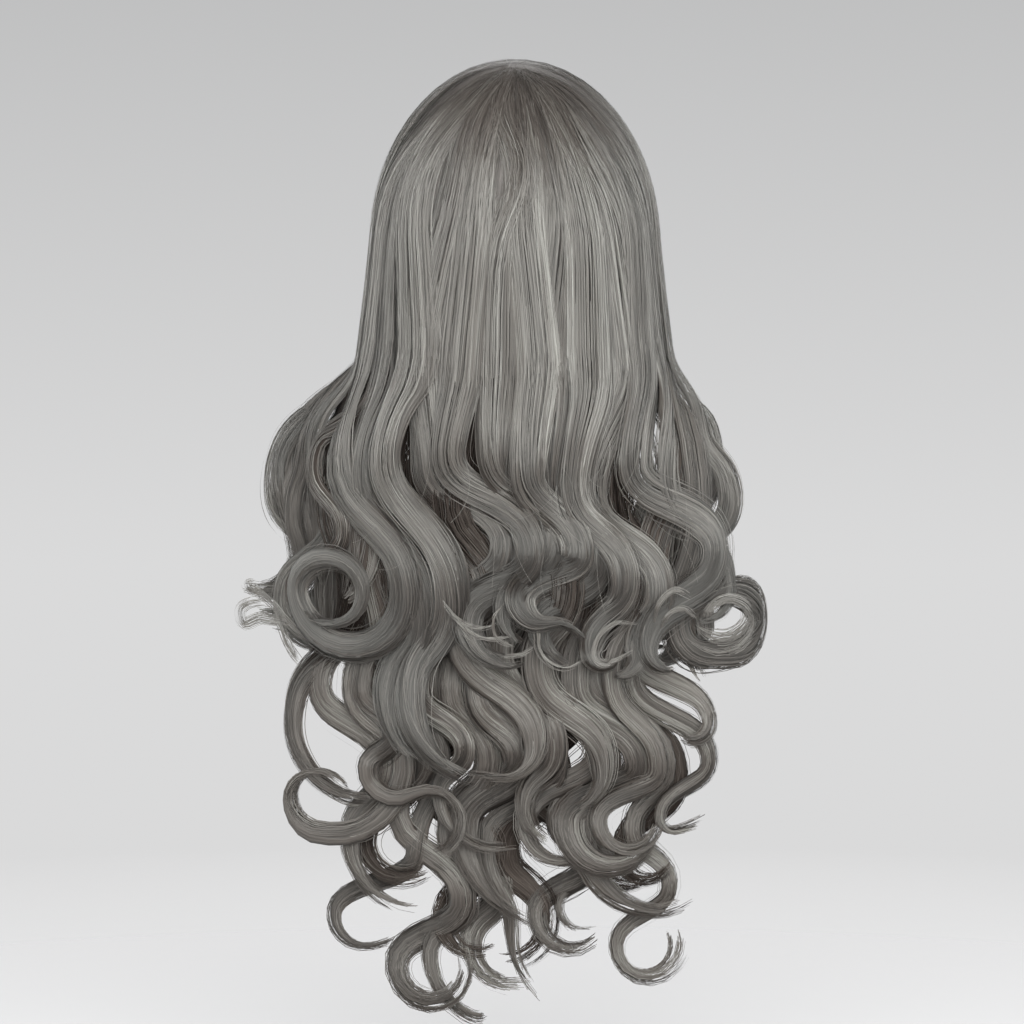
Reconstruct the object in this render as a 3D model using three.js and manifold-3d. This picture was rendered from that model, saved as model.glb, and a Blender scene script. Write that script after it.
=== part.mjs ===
import * as THREE from "three";
import Module from "manifold-3d";

// A long wavy wig in millimetres, +Z up. The wearer looks along +Y, so the back of the hair faces -Y
// and +X is the right-hand side seen from behind. The origin is the inside of the cap at the crown.

// Head and hair domes: sizes round the vertical axis, the crown's height, the level of the widest part,
// and how much wider the dome gets for each millimetre below that level.
const headDome = { halfBreadth: 77, back: 97, front: 97, crown: 0, widest: -96, flare: -0.0017 };
const hairDome = { halfBreadth: 102, back: 121, front: 109, crown: 14, widest: -120, flare: 0.00127 };
const quarterRun = 160; // length along a dome from the crown to its widest level
const capWall = 2;
const gap = 0.4; // clearance between pieces
const capRings = 6;
const capColumns = 30;
const crownRings = 8;
const hollowBottom = -260; // level that the hollow in the crown hair is carried down to
const ribDepth = 2.2; // valleys between the locks on the crown hair
const ribStart = 50; // run along the dome where the valleys begin
const ribFull = 170;
const partingDepth = 4.5;
const hairColor = 0x7d7872;
const capColor = 0x3a3836;

// Lower edges: degrees round from the middle of the back, and the height of the edge there.
const capEdge = [
  { round: 0, level: -150 },
  { round: 40, level: -148 },
  { round: 66, level: -126 },
  { round: 88, level: -104 },
  { round: 106, level: -124 },
  { round: 128, level: -80 },
  { round: 180, level: -52 },
];
const crownEdge = [
  { round: 0, level: -170 },
  { round: 123, level: -170 },
  { round: 134, level: -118 },
  { round: 147, level: -82 },
  { round: 163, level: -63 },
  { round: 180, level: -58 },
];
const frontColumns = [124, 129, 135, 144, 155, 166, 175, 178]; // extra columns of the crown hair beside the face

// Hanging hair: the sheet that the locks lie on widens from the crown hair's edge down to its full spread.
const hangDrop = 170 + gap; // drop below the crown where the locks begin
const fullSpreadDrop = 300;
const fullSpread = 178;
const firstLayer = 3.5; // depth of the outermost layer's middle below the sheet
const layerPitch = 6;
const lockThickness = 5.2;
const tipThickness = 3;
const tipShare = 0.42; // width left at a lock's tip
const taperStart = 0.72; // share of a lock's length where it begins to narrow
const tailLift = 9; // how far a curled tail stands out from its layer
const tightest = 0.72; // half width allowed inside a bend, as a share of its radius
const bulge = { depth: 5, crest: 238, pitch: 100, start: 190, full: 240 };
const sideInset = 0.35; // how much narrower the sheet gets for each millimetre of depth
const farthestShare = 0.985; // share of the sheet's half breadth where a lock is held at its edge
const frontWave = 6; // forward and backward swing of the front locks
const frontFacing = 50; // degrees round from the back that the hanging front locks face
const bendHandle = 0.56; // share of a bend's drop taken by each curve handle
const bendSteps = 3;
const hiddenSteps = 2;
const outerSides = 6; // sides of a lock's section in the outer layers
const underSides = 5; // and in the layers under them
const underLayer = 2;
const tailStep = 34; // degrees of tail between two sections
const frontFall = 330; // drop where the front locks reach their full forward place

// Waves that the long locks share where they pass behind the outer layer: drop and sideways swing.
const hiddenWaves = [
  { drop: 285, swing: -12 },
  { drop: 348, swing: 17 },
];

// One row for each lock. root: degrees round from the back; layer: 0 is the outermost; bends: sideways
// place and drop of each turn of the wave; tail: radius and degrees of each arc of the curl, + to the right.
const upperLocks = [
  {
    name: "upper_01", root: -76, layer: 0, width: 22,
    bends: [[-121, 255], [-75, 355]], tail: [[38, -180], [24, -330]],
  },
  {
    name: "upper_02", root: -61, layer: 1, width: 24,
    bends: [[-111, 262], [-62, 362], [-86, 425]], tail: [[45, 60]],
  },
  {
    name: "upper_03", root: -46, layer: 0, width: 26,
    bends: [[-94, 245], [-44, 352], [-71, 420]], tail: [[54, 76]],
  },
  {
    name: "upper_04", root: -30, layer: 1, width: 22,
    bends: [[-57, 263], [-6, 316], [-37, 363]], tail: [[18, 95]],
  },
  {
    name: "upper_05", root: -18, layer: 0, width: 22,
    bends: [[-48, 247], [10, 320], [-31, 366]], tail: [[28, 110]],
  },
  {
    name: "upper_06", root: -6, layer: 1, width: 20,
    bends: [[-15, 252], [26, 314], [-8, 362]], tail: [[22, 70]],
  },
  {
    name: "upper_07", root: 6, layer: 0, width: 22,
    bends: [[7, 263], [44, 322], [3, 352]], tail: [[16, 100], [22, -70]],
  },
  {
    name: "upper_08", root: 17, layer: 1, width: 22,
    bends: [[20, 266], [58, 329], [16, 371]], tail: [[26, 80]],
  },
  {
    name: "upper_09", root: 31, layer: 0, width: 20,
    bends: [[40, 272], [74, 340], [50, 387]], tail: [[10, 160]],
  },
  {
    name: "upper_10", root: 45, layer: 1, width: 24,
    bends: [[51, 280], [98, 350], [84, 390]], tail: [[14, -110]],
  },
  {
    name: "upper_11", root: 60, layer: 0, width: 24,
    bends: [[80, 259], [137, 322], [91, 386]], tail: [[14, 110]],
  },
  {
    name: "upper_12", root: 72, layer: 1, width: 16,
    bends: [[103, 263], [147, 350]], tail: [[20, -100]],
  },
  {
    name: "upper_13", root: 80, layer: 2, width: 16,
    bends: [[126, 290], [111, 372]], tail: [[21, 88], [300, 3], [21, 185], [40, 55]],
  },
];
const middleLocks = [
  {
    name: "middle_01", root: -20, layer: 2, width: 18,
    bends: [[-37, 376], [13, 452]], tail: [[22, -95], [250, -6]],
  },
  {
    name: "middle_02", root: -8, layer: 3, width: 18,
    bends: [[-12, 385], [26, 455], [6, 495]], tail: [[24, 70]],
  },
  {
    name: "middle_03", root: 13, layer: 2, width: 18,
    bends: [[15, 395], [60, 470]], tail: [[26, -80]],
  },
  {
    name: "middle_04", root: 26, layer: 3, width: 18,
    bends: [[40, 410], [84, 468], [35, 504]], tail: [[31, 190]],
  },
];
const lowerLocks = [
  {
    name: "lower_01", root: -70, layer: 3, width: 16,
    bends: [[-153, 442]], tail: [[50, 85]],
  },
  {
    name: "lower_02", root: -60, layer: 4, width: 17,
    bends: [[-135, 416], [-88, 468], [-112, 522]], tail: [[42, 100]],
  },
  {
    name: "lower_03", root: -50, layer: 3, width: 14,
    bends: [[-111, 416], [-76, 467]], tail: [[51, -88], [300, -2], [22, -270]],
  },
  {
    name: "lower_04", root: -38, layer: 4, width: 15,
    bends: [[-88, 419], [-62, 465], [-80, 497], [-36, 560], [-82, 605]], tail: [[24, 215]],
  },
  {
    name: "lower_05", root: -44, layer: 2, width: 11,
    bends: [[-104, 415], [-84, 446], [-102, 470]], tail: [[20, 125], [22, -210]],
  },
  {
    name: "lower_06", root: -30, layer: 5, width: 12,
    bends: [[-72, 415], [-50, 465], [-67, 526], [-124, 574]], tail: [[20, 95], [45, 35]],
  },
  {
    name: "lower_07", root: -15, layer: 5, width: 13,
    bends: [[-45, 415], [-20, 465], [-46, 512], [-33, 563], [-58, 598]], tail: [[42, 75], [6, 110]],
  },
  {
    name: "lower_08", root: -22, layer: 6, width: 18,
    bends: [[-50, 412], [-15, 462], [-40, 508], [-11, 552], [-32, 590]], tail: [[26, 95], [150, 6]],
  },
  {
    name: "lower_09", root: -34, layer: 3, width: 12,
    bends: [[-66, 415], [-34, 455], [-52, 486]], tail: [[36, 95], [120, 8]],
  },
  {
    name: "lower_10", root: -4, layer: 4, width: 22,
    bends: [[-22, 415], [5, 462], [-35, 508]], tail: [[70, 60], [200, 6]],
  },
  {
    name: "lower_11", root: 3, layer: 5, width: 11,
    bends: [[-5, 420], [30, 468], [-20, 520], [-2, 584]], tail: [[50, 55]],
  },
  {
    name: "lower_12", root: 16, layer: 4, width: 14,
    bends: [[22, 405], [57, 455], [8, 507]], tail: [[25, 170]],
  },
  {
    name: "lower_13", root: 24, layer: 5, width: 16,
    bends: [[30, 412], [64, 465], [30, 505], [50, 533], [14, 570]], tail: [[24, 150]],
  },
  {
    name: "lower_14", root: 36, layer: 5, width: 8,
    bends: [[45, 410], [80, 465], [48, 505], [64, 535], [30, 564]], tail: [[16, 100], [45, 20]],
  },
  {
    name: "lower_15", root: 42, layer: 4, width: 15,
    bends: [[52, 405], [85, 460], [45, 512]], tail: [[55, 75], [40, 55]],
  },
  {
    name: "lower_16", root: 50, layer: 2, width: 12,
    bends: [[65, 405], [98, 470], [57, 503]], tail: [[20, 200]],
  },
  {
    name: "lower_17", root: 56, layer: 5, width: 11,
    bends: [[70, 410], [105, 470], [80, 512], [106, 552], [69, 592]], tail: [[23, 215]],
  },
  {
    name: "lower_18", root: 67, layer: 3, width: 15,
    bends: [[79, 384], [133, 440]], tail: [[11, -160]],
  },
  {
    name: "lower_19", root: 62, layer: 4, width: 12,
    bends: [[80, 404], [133, 466], [98, 505]], tail: [[10, 100], [80, 20]],
  },
];
// The hair in front of the ears also has its forward place where it hangs free.
const frontLocks = [
  {
    name: "left_01", root: -88, layer: 0, width: 16, forward: 5,
    bends: [[-133, 250], [-122, 305], [-162, 363]], tail: [[30, 130]],
  },
  {
    name: "left_02", root: -96, layer: 2, width: 18, forward: 22,
    bends: [[-156, 308], [-140, 352]], tail: [[24, -95], [150, -8]],
  },
  {
    name: "left_03", root: -103, layer: 0, width: 26, forward: 40,
    bends: [[-171, 283], [-146, 338]], tail: [[22, -95], [150, -8]],
  },
  {
    name: "left_04", root: -111, layer: 2, width: 22, forward: 60,
    bends: [[-128, 262], [-104, 330], [-130, 392]], tail: [[22, 110]],
  },
  {
    name: "left_05", root: -119, layer: 0, width: 20, forward: 80,
    bends: [[-98, 255], [-112, 320], [-84, 385]], tail: [[20, -120]],
  },
  {
    name: "right_01", root: 90, layer: 0, width: 18, forward: 8,
    bends: [[118, 235], [150, 288], [122, 345]], tail: [[26, -110]],
  },
  {
    name: "right_02", root: 97, layer: 2, width: 18, forward: 24,
    bends: [[138, 275], [118, 335], [128, 385]], tail: [[22, -120]],
  },
  {
    name: "right_03", root: 104, layer: 0, width: 20, forward: 42,
    bends: [[144, 268], [124, 330], [138, 380]], tail: [[20, -140]],
  },
  {
    name: "right_04", root: 112, layer: 2, width: 22, forward: 62,
    bends: [[126, 258], [102, 326], [126, 390]], tail: [[24, -110]],
  },
  {
    name: "right_05", root: 119, layer: 0, width: 20, forward: 80,
    bends: [[96, 252], [110, 322], [82, 380]], tail: [[18, 130]],
  },
];

function smooth(from, to, value) {
  return THREE.MathUtils.smoothstep(value, from, to);
}

function radians(degrees) {
  return THREE.MathUtils.degToRad(degrees);
}

// Height of an edge at a place round the head, eased between the rows of its table.
function edgeLevel(table, round) {
  const place = Math.abs(round);
  const next = table.findIndex((row) => row.round >= place && row.round > 0);
  const low = table[next - 1];
  const high = table[next];
  return THREE.MathUtils.lerp(low.level, high.level, smooth(low.round, high.round, place));
}

function grownDome(dome, by) {
  return {
    ...dome,
    halfBreadth: dome.halfBreadth + by,
    back: dome.back + by,
    front: dome.front + by,
    crown: dome.crown + by,
  };
}

// A point on a dome, a given run down from its crown along the line at a place round the head.
function domePoint(dome, round, run) {
  const tilt = Math.min(run / quarterRun, 1) * (Math.PI / 2);
  const below = Math.max(run - quarterRun, 0);
  const reach = Math.sin(tilt) * (1 + dome.flare * below);
  const sideways = Math.sin(radians(round));
  const backward = Math.cos(radians(round));
  const depth = backward > 0 ? dome.back : dome.front;
  return new THREE.Vector3(
    dome.halfBreadth * reach * sideways,
    -depth * reach * backward,
    dome.widest + (dome.crown - dome.widest) * Math.cos(tilt) - below,
  );
}

function runToLevel(dome, level) {
  if (level <= dome.widest) {
    return quarterRun + dome.widest - level;
  }
  const share = (level - dome.widest) / (dome.crown - dome.widest);
  return (quarterRun * Math.acos(share)) / (Math.PI / 2);
}

// A closed body through rings of points; a ring of one point is a pole, any other end ring is closed flat.
function bodyThroughRings(rings) {
  const vertices = [];
  const starts = rings.map((ring) => {
    const start = vertices.length / 3;
    ring.forEach((point) => vertices.push(point.x, point.y, point.z));
    return start;
  });
  const faces = [];
  for (let row = 0; row + 1 < rings.length; row += 1) {
    const columns = Math.max(rings[row].length, rings[row + 1].length);
    for (let column = 0; column < columns; column += 1) {
      const next = (column + 1) % columns;
      const near = starts[row];
      const far = starts[row + 1];
      if (rings[row].length === 1) {
        faces.push(near, far + next, far + column);
      } else if (rings[row + 1].length === 1) {
        faces.push(near + column, near + next, far);
      } else {
        faces.push(near + column, near + next, far + next);
        faces.push(near + column, far + next, far + column);
      }
    }
  }
  const last = rings.length - 1;
  for (let corner = 1; corner + 1 < rings[0].length; corner += 1) {
    faces.push(starts[0], starts[0] + corner + 1, starts[0] + corner);
  }
  for (let corner = 1; corner + 1 < rings[last].length; corner += 1) {
    faces.push(starts[last], starts[last] + corner, starts[last] + corner + 1);
  }
  const geometry = new THREE.BufferGeometry();
  geometry.setAttribute("position", new THREE.Float32BufferAttribute(vertices, 3));
  geometry.setIndex(facesOutward(vertices, faces));
  return geometry;
}

// Turns every face round when the body is inside out.
function facesOutward(vertices, faces) {
  const corner = (index) => new THREE.Vector3().fromArray(vertices, 3 * index);
  let volume = 0;
  for (let face = 0; face < faces.length; face += 3) {
    const normal = corner(faces[face + 1]).cross(corner(faces[face + 2]));
    volume += corner(faces[face]).dot(normal);
  }
  return volume < 0 ? faces.reverse() : faces;
}

function capShares() {
  return Array.from({ length: capRings }, (_, step) => (step + 1) / capRings);
}

function capRing(dome, share) {
  return Array.from({ length: capColumns }, (_, column) => {
    const round = -180 + (360 * column) / capColumns;
    const run = runToLevel(dome, edgeLevel(capEdge, round));
    return domePoint(dome, round, run * share);
  });
}

function capGeometry() {
  const inner = headDome;
  const outer = grownDome(headDome, capWall);
  return bodyThroughRings([
    [domePoint(inner, 0, 0)],
    ...capShares().map((share) => capRing(inner, share)),
    ...capShares().map((share) => capRing(outer, share)).reverse(),
    [domePoint(outer, 0, 0)],
  ]);
}

// Places round the head where the crown hair has a crest over each lock and a valley between two locks.
function crownColumns() {
  const roots = [...upperLocks, ...frontLocks].map((lock) => lock.root).sort((a, b) => a - b);
  const columns = [];
  roots.forEach((root, index) => {
    columns.push({ round: root, valley: 0 });
    if (index + 1 < roots.length) {
      columns.push({ round: (root + roots[index + 1]) / 2, valley: 1 });
    }
  });
  frontColumns.forEach((round) => columns.push({ round, valley: 0 }));
  columns.push({ round: 180, valley: 0, parting: true });
  [...frontColumns].reverse().forEach((round) => columns.push({ round: 360 - round, valley: 0 }));
  return columns.map((column) => ({
    ...column,
    edge: column.round > 180 ? column.round - 360 : column.round,
  }));
}

// The crown hair's outer form, closed below at its edge; the hollow for the cap is cut from it later.
function crownGeometry() {
  const columns = crownColumns();
  const ring = (share) =>
    columns.map((column) => {
      const level = edgeLevel(crownEdge, column.edge);
      const run = share * runToLevel(hairDome, level);
      const valley = column.valley * ribDepth * smooth(ribStart, ribFull, run);
      const groove = column.parting ? partingDepth : 0;
      const point = domePoint(grownDome(hairDome, -valley - groove), column.round, run);
      point.z = Math.max(point.z, level);
      return point;
    });
  const crown = domePoint(hairDome, 0, 0);
  crown.z -= partingDepth;
  const floor = new THREE.Vector3(0, 0, crownEdge[0].level);
  const rings = Array.from({ length: crownRings }, (_, step) => ring((step + 1) / crownRings));
  return bodyThroughRings([[crown], ...rings, [floor]]);
}

// The space inside the crown hair: the cap's outside with a clearance, carried on down past the edge.
function hollowGeometry() {
  const dome = grownDome(headDome, capWall + gap);
  const rings = capShares().map((share) => capRing(dome, share)).reverse();
  const bottom = capRing(dome, 1).map((point) => point.setZ(hollowBottom));
  return bodyThroughRings([bottom, ...rings, [domePoint(dome, 0, 0)]]);
}

// The flat course of a lock: sideways place and drop of each section, and how far along its tail it is.
function lockCourse(lock, hidden) {
  const edge = domePoint(hairDome, lock.root, runToLevel(hairDome, -hangDrop));
  const stops = [new THREE.Vector2(edge.x, hangDrop)];
  const first = lock.bends[0];
  hidden.forEach((wave) => {
    const share = (wave.drop - hangDrop) / (first[1] - hangDrop);
    stops.push(new THREE.Vector2(edge.x + (first[0] - edge.x) * share + wave.swing, wave.drop));
  });
  lock.bends.forEach((bend) => stops.push(new THREE.Vector2(bend[0], bend[1])));
  const course = [{ place: stops[0], curl: 0, radius: Infinity }];
  for (let index = 0; index + 1 < stops.length; index += 1) {
    const from = stops[index];
    const to = stops[index + 1];
    const handle = (to.y - from.y) * bendHandle;
    const curve = new THREE.CubicBezierCurve(
      from,
      new THREE.Vector2(from.x, from.y + handle),
      new THREE.Vector2(to.x, to.y - handle),
      to,
    );
    const steps = index < hidden.length ? hiddenSteps : bendSteps;
    curve.getPoints(steps).slice(1).forEach((place) => course.push({ place, curl: 0, radius: Infinity }));
  }
  return course.concat(tailCourse(lock, stops[stops.length - 1]));
}

// The arcs of a curled tail, which starts straight down from the last bend.
function tailCourse(lock, start) {
  const full = lock.tail.reduce((sum, arc) => sum + Math.abs(arc[1]), 0);
  const course = [];
  let heading = 0;
  let turned = 0;
  let from = start;
  lock.tail.forEach(([radius, degrees]) => {
    const steps = Math.max(1, Math.round(Math.abs(degrees) / tailStep));
    const signed = radius * Math.sign(degrees);
    const origin = from;
    for (let step = 1; step <= steps; step += 1) {
      const now = heading + radians((degrees * step) / steps);
      const shift = new THREE.Vector2(Math.cos(heading) - Math.cos(now), Math.sin(now) - Math.sin(heading));
      from = origin.clone().addScaledVector(shift, signed);
      turned += Math.abs(degrees) / steps;
      course.push({ place: from, curl: turned / full, radius });
    }
    heading += radians(degrees);
  });
  return course;
}

// A place in the back hair, a given depth under its outer sheet, and the way out from it.
function backPlace(across, drop, depth) {
  const edge = 1 + hairDome.flare * (hangDrop + hairDome.widest);
  const spread = smooth(hangDrop, fullSpreadDrop, drop);
  const wave = Math.cos((2 * Math.PI * (drop - bulge.crest)) / bulge.pitch);
  const swell = bulge.depth * wave * smooth(bulge.start, bulge.full, drop);
  const breadth = THREE.MathUtils.lerp(hairDome.halfBreadth * edge, fullSpread, spread) - sideInset * depth;
  const back = hairDome.back * edge + swell - depth;
  const share = THREE.MathUtils.clamp(across / breadth, -farthestShare, farthestShare);
  const centre = new THREE.Vector3(across, -back * Math.sqrt(1 - share * share), -drop);
  const outward = new THREE.Vector3(share / breadth, centre.y / back ** 2, 0).normalize();
  return { centre, outward };
}

// The front locks leave the crown hair's edge, swing forward as they fall and turn to face outward.
function frontPlace(lock, across, drop, depth) {
  const edge = domePoint(hairDome, lock.root, runToLevel(hairDome, -hangDrop));
  const fall = smooth(hangDrop, frontFall, drop);
  const wave = Math.sin((2 * Math.PI * (drop - bulge.crest)) / bulge.pitch) * frontWave * fall;
  const facing = radians(THREE.MathUtils.lerp(Math.abs(lock.root), frontFacing, fall));
  const outward = new THREE.Vector3(Math.sign(lock.root) * Math.sin(facing), -Math.cos(facing), 0);
  const centre = new THREE.Vector3(across, THREE.MathUtils.lerp(edge.y, lock.forward, fall) + wave, -drop);
  return { centre: centre.addScaledVector(outward, -depth), outward };
}

// A lock as a flat tapering strand swept along its course; grow makes it larger all round.
function lockGeometry(lock, hidden, grow) {
  const course = lockCourse(lock, hidden);
  const frames = course.map(({ place, curl, radius }) => {
    const depth = firstLayer + lock.layer * layerPitch - tailLift * curl;
    const at = lock.forward === undefined
      ? backPlace(place.x, place.y, depth)
      : frontPlace(lock, place.x, place.y, depth);
    return { ...at, radius };
  });
  const travelled = [0];
  for (let index = 1; index < frames.length; index += 1) {
    travelled.push(travelled[index - 1] + frames[index].centre.distanceTo(frames[index - 1].centre));
  }
  const full = travelled[travelled.length - 1];
  const last = frames.length - 1;
  const sides = lock.layer < underLayer ? outerSides : underSides;
  const rings = frames.map((frame, index) => {
    const before = frames[Math.max(index - 1, 0)].centre;
    const after = frames[Math.min(index + 1, last)].centre;
    const along = index === 0 ? new THREE.Vector3(0, 0, -1) : after.clone().sub(before).normalize();
    const out = frame.outward.clone().addScaledVector(along, -frame.outward.dot(along)).normalize();
    const across = new THREE.Vector3().crossVectors(along, out);
    const taper = smooth(taperStart, 1, travelled[index] / full);
    const width = lock.width * THREE.MathUtils.lerp(1, tipShare, taper);
    const halfWidth = Math.min(width / 2, frame.radius * tightest) + grow;
    const halfThickness = THREE.MathUtils.lerp(lockThickness, tipThickness, taper) / 2 + grow;
    return Array.from({ length: sides }, (_, corner) => {
      const angle = Math.PI / 2 + (2 * Math.PI * corner) / sides;
      return frame.centre.clone()
        .addScaledVector(across, halfWidth * Math.cos(angle))
        .addScaledVector(out, halfThickness * Math.sin(angle));
    });
  });
  return bodyThroughRings(rings);
}

const wasm = await Module();
wasm.setup();

function solidOf(geometry) {
  return new wasm.Manifold(new wasm.Mesh({
    numProp: 3,
    vertProperties: new Float32Array(geometry.attributes.position.array),
    triVerts: new Uint32Array(geometry.index.array),
  }));
}

function geometryOf(solid) {
  const mesh = solid.getMesh();
  const geometry = new THREE.BufferGeometry();
  geometry.setAttribute("position", new THREE.Float32BufferAttribute(mesh.vertProperties, 3));
  geometry.setIndex(Array.from(mesh.triVerts));
  return geometry;
}

const wig = new THREE.Group();
wig.name = "long_wavy_wig";
const hairMaterial = new THREE.MeshStandardMaterial({ color: hairColor, roughness: 0.45 });
const capMaterial = new THREE.MeshStandardMaterial({ color: capColor, roughness: 0.9 });

function addPiece(name, geometry, material) {
  geometry.computeVertexNormals();
  const mesh = new THREE.Mesh(geometry, material);
  mesh.name = name;
  wig.add(mesh);
}

addPiece("cap", capGeometry(), capMaterial);
const crownSolid = solidOf(crownGeometry()).subtract(solidOf(hollowGeometry()));
addPiece("crown_hair", geometryOf(crownSolid), hairMaterial);

// Where two locks cross, the one nearer the outside keeps its form and the other gives way to it.
const locks = [...upperLocks, ...frontLocks, ...middleLocks, ...lowerLocks];
const outsideFirst = locks.sort((a, b) => a.layer - b.layer);
const laid = [];
outsideFirst.forEach((lock) => {
  const hidden = lock.bends[0][1] > hiddenWaves[1].drop ? hiddenWaves : [];
  let solid = solidOf(lockGeometry(lock, hidden, 0));
  laid.forEach((other) => {
    if (solid.intersect(other).volume() > 0) {
      solid = solid.subtract(other);
    }
  });
  const largest = solid.decompose().sort((a, b) => b.volume() - a.volume())[0];
  addPiece(lock.name, geometryOf(largest), hairMaterial);
  laid.push(solidOf(lockGeometry(lock, hidden, gap / 2)));
});

export default wig;
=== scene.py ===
import math

import bpy
import numpy as np
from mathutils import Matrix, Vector


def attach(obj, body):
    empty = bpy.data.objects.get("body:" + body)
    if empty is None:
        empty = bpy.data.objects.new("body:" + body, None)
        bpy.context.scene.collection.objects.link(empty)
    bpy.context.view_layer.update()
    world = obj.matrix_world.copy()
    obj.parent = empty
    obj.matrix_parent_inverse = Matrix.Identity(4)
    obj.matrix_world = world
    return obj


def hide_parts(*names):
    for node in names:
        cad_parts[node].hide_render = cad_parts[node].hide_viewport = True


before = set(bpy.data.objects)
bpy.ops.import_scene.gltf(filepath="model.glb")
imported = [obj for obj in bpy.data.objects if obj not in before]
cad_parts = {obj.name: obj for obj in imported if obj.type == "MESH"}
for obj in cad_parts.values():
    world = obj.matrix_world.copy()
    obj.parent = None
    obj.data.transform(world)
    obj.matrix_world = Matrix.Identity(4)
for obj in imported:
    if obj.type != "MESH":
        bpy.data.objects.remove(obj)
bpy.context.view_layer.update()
mm = 0.001
dice = np.random.default_rng(11)  # the loose hairs fall the same way every time
print("frame loaded:", len(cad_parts), "nodes")


class Wire:  # a shader socket that takes plain sums
    def __init__(self, shader, socket):
        self.shader = shader
        self.socket = socket

    def sum(self, operation, first, second):
        return self.shader.add("ShaderNodeMath", {"operation": operation}, {0: first, 1: second})

    def __add__(self, other):
        return self.sum("ADD", self, other)

    def __radd__(self, other):
        return self.sum("ADD", other, self)

    def __sub__(self, other):
        return self.sum("SUBTRACT", self, other)

    def __rsub__(self, other):
        return self.sum("SUBTRACT", other, self)

    def __mul__(self, other):
        return self.sum("MULTIPLY", self, other)

    def __rmul__(self, other):
        return self.sum("MULTIPLY", other, self)

    def __truediv__(self, other):
        return self.sum("DIVIDE", self, other)

    def __rtruediv__(self, other):
        return self.sum("DIVIDE", other, self)

    def __pow__(self, other):
        return self.sum("POWER", self, other)


def setStops(elements, stops):  # a new ramp has two stops already
    for number, (position, tint) in enumerate(stops):
        stop = elements[number] if number < 2 else elements.new(position)
        stop.position = position
        stop.color = tint


class Shader:  # the nodes of a material or of the world
    def __init__(self, owner):
        self.owner = owner
        self.owner.use_nodes = True
        self.tree = owner.node_tree
        self.tree.nodes.clear()

    def add(self, kind, settings, sockets, out=0):
        node = self.tree.nodes.new(kind)
        for key, value in settings.items():
            if key == "stops":
                setStops(node.color_ramp.elements, value)
            else:
                setattr(node, key, value)
        for key, value in sockets.items():
            if isinstance(value, Wire):
                self.tree.links.new(value.socket, node.inputs[key])
            else:
                node.inputs[key].default_value = value
        return Wire(self, node.outputs[out]) if len(node.outputs) else None

    def blend(self, factor, first, second):  # between two colours
        return self.add("ShaderNodeMix", {"data_type": "RGBA"}, {0: factor, 6: first, 7: second}, 2)

    def attribute(self, name):
        return self.add("ShaderNodeAttribute", {"attribute_name": name}, {}, 2)

    def clip(self, value):
        return self.add("ShaderNodeClamp", {}, {0: value})

    def done(self, surface, output="ShaderNodeOutputMaterial"):
        self.add(output, {}, {"Surface": surface})
        return self.owner


def newMaterial(name):
    return Shader(bpy.data.materials.new(name))


def addObject(name, data):
    thing = bpy.data.objects.new(name, data)
    bpy.context.scene.collection.objects.link(thing)
    return thing


def colour(red, green, blue):
    return (red, green, blue, 1.0)


# The wig's form in millimetres, as in the solids: hair dome, cap dome and the sheet that the locks hang on.
hairDome = {"breadth": 102, "back": 121, "front": 109, "crown": 14, "widest": -120, "flare": 0.00127}
headDome = {"breadth": 77, "back": 97, "front": 97, "crown": 0, "widest": -96, "flare": -0.0017}
quarterRun = 160  # from the crown down to the widest level
hang = {
    "drop": 170.4, "fullDrop": 300, "fullSpread": 178, "firstLayer": 3.5, "layerPitch": 6, "hiddenDrop": 330,
    "thickness": 5.2, "tipThickness": 3, "tailLift": 9, "tightest": 0.72,
    "bulge": 5, "bulgeCrest": 238, "bulgePitch": 100, "bulgeStart": 190, "bulgeFull": 240,
    "sideInset": 0.35, "farthest": 0.985, "highest": 0.995, "frontWave": 6, "frontFall": 330,
    "frontFacing": 50, "backFacing": 15, "facingRun": 40,
    "handle": 0.56, "bendSteps": 14, "tailStep": 6, "straight": 1e4,
}
hiddenWaves = [(285, -12), (348, 17)]  # drop and sideways swing where the long locks pass behind the others
capEdge = {0: -150, 40: -148, 66: -126, 88: -104, 106: -124, 128: -80, 180: -52}  # degrees round: height
crownEdge = {0: -170, 123: -170, 134: -118, 147: -82, 163: -63, 180: -58}


def lock(name, root, layer, width, bends, tail, forward=None, ending=0.65):
    return {"name": name, "root": root, "layer": layer, "width": width, "bends": bends, "tail": tail,
            "forward": forward, "ending": ending, "sunk": 0.0}


def lockSeries(label, rows):  # numbered from 01
    return [lock(f"{label}_{number:02d}", *row) for number, row in enumerate(rows, 1)]


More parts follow.
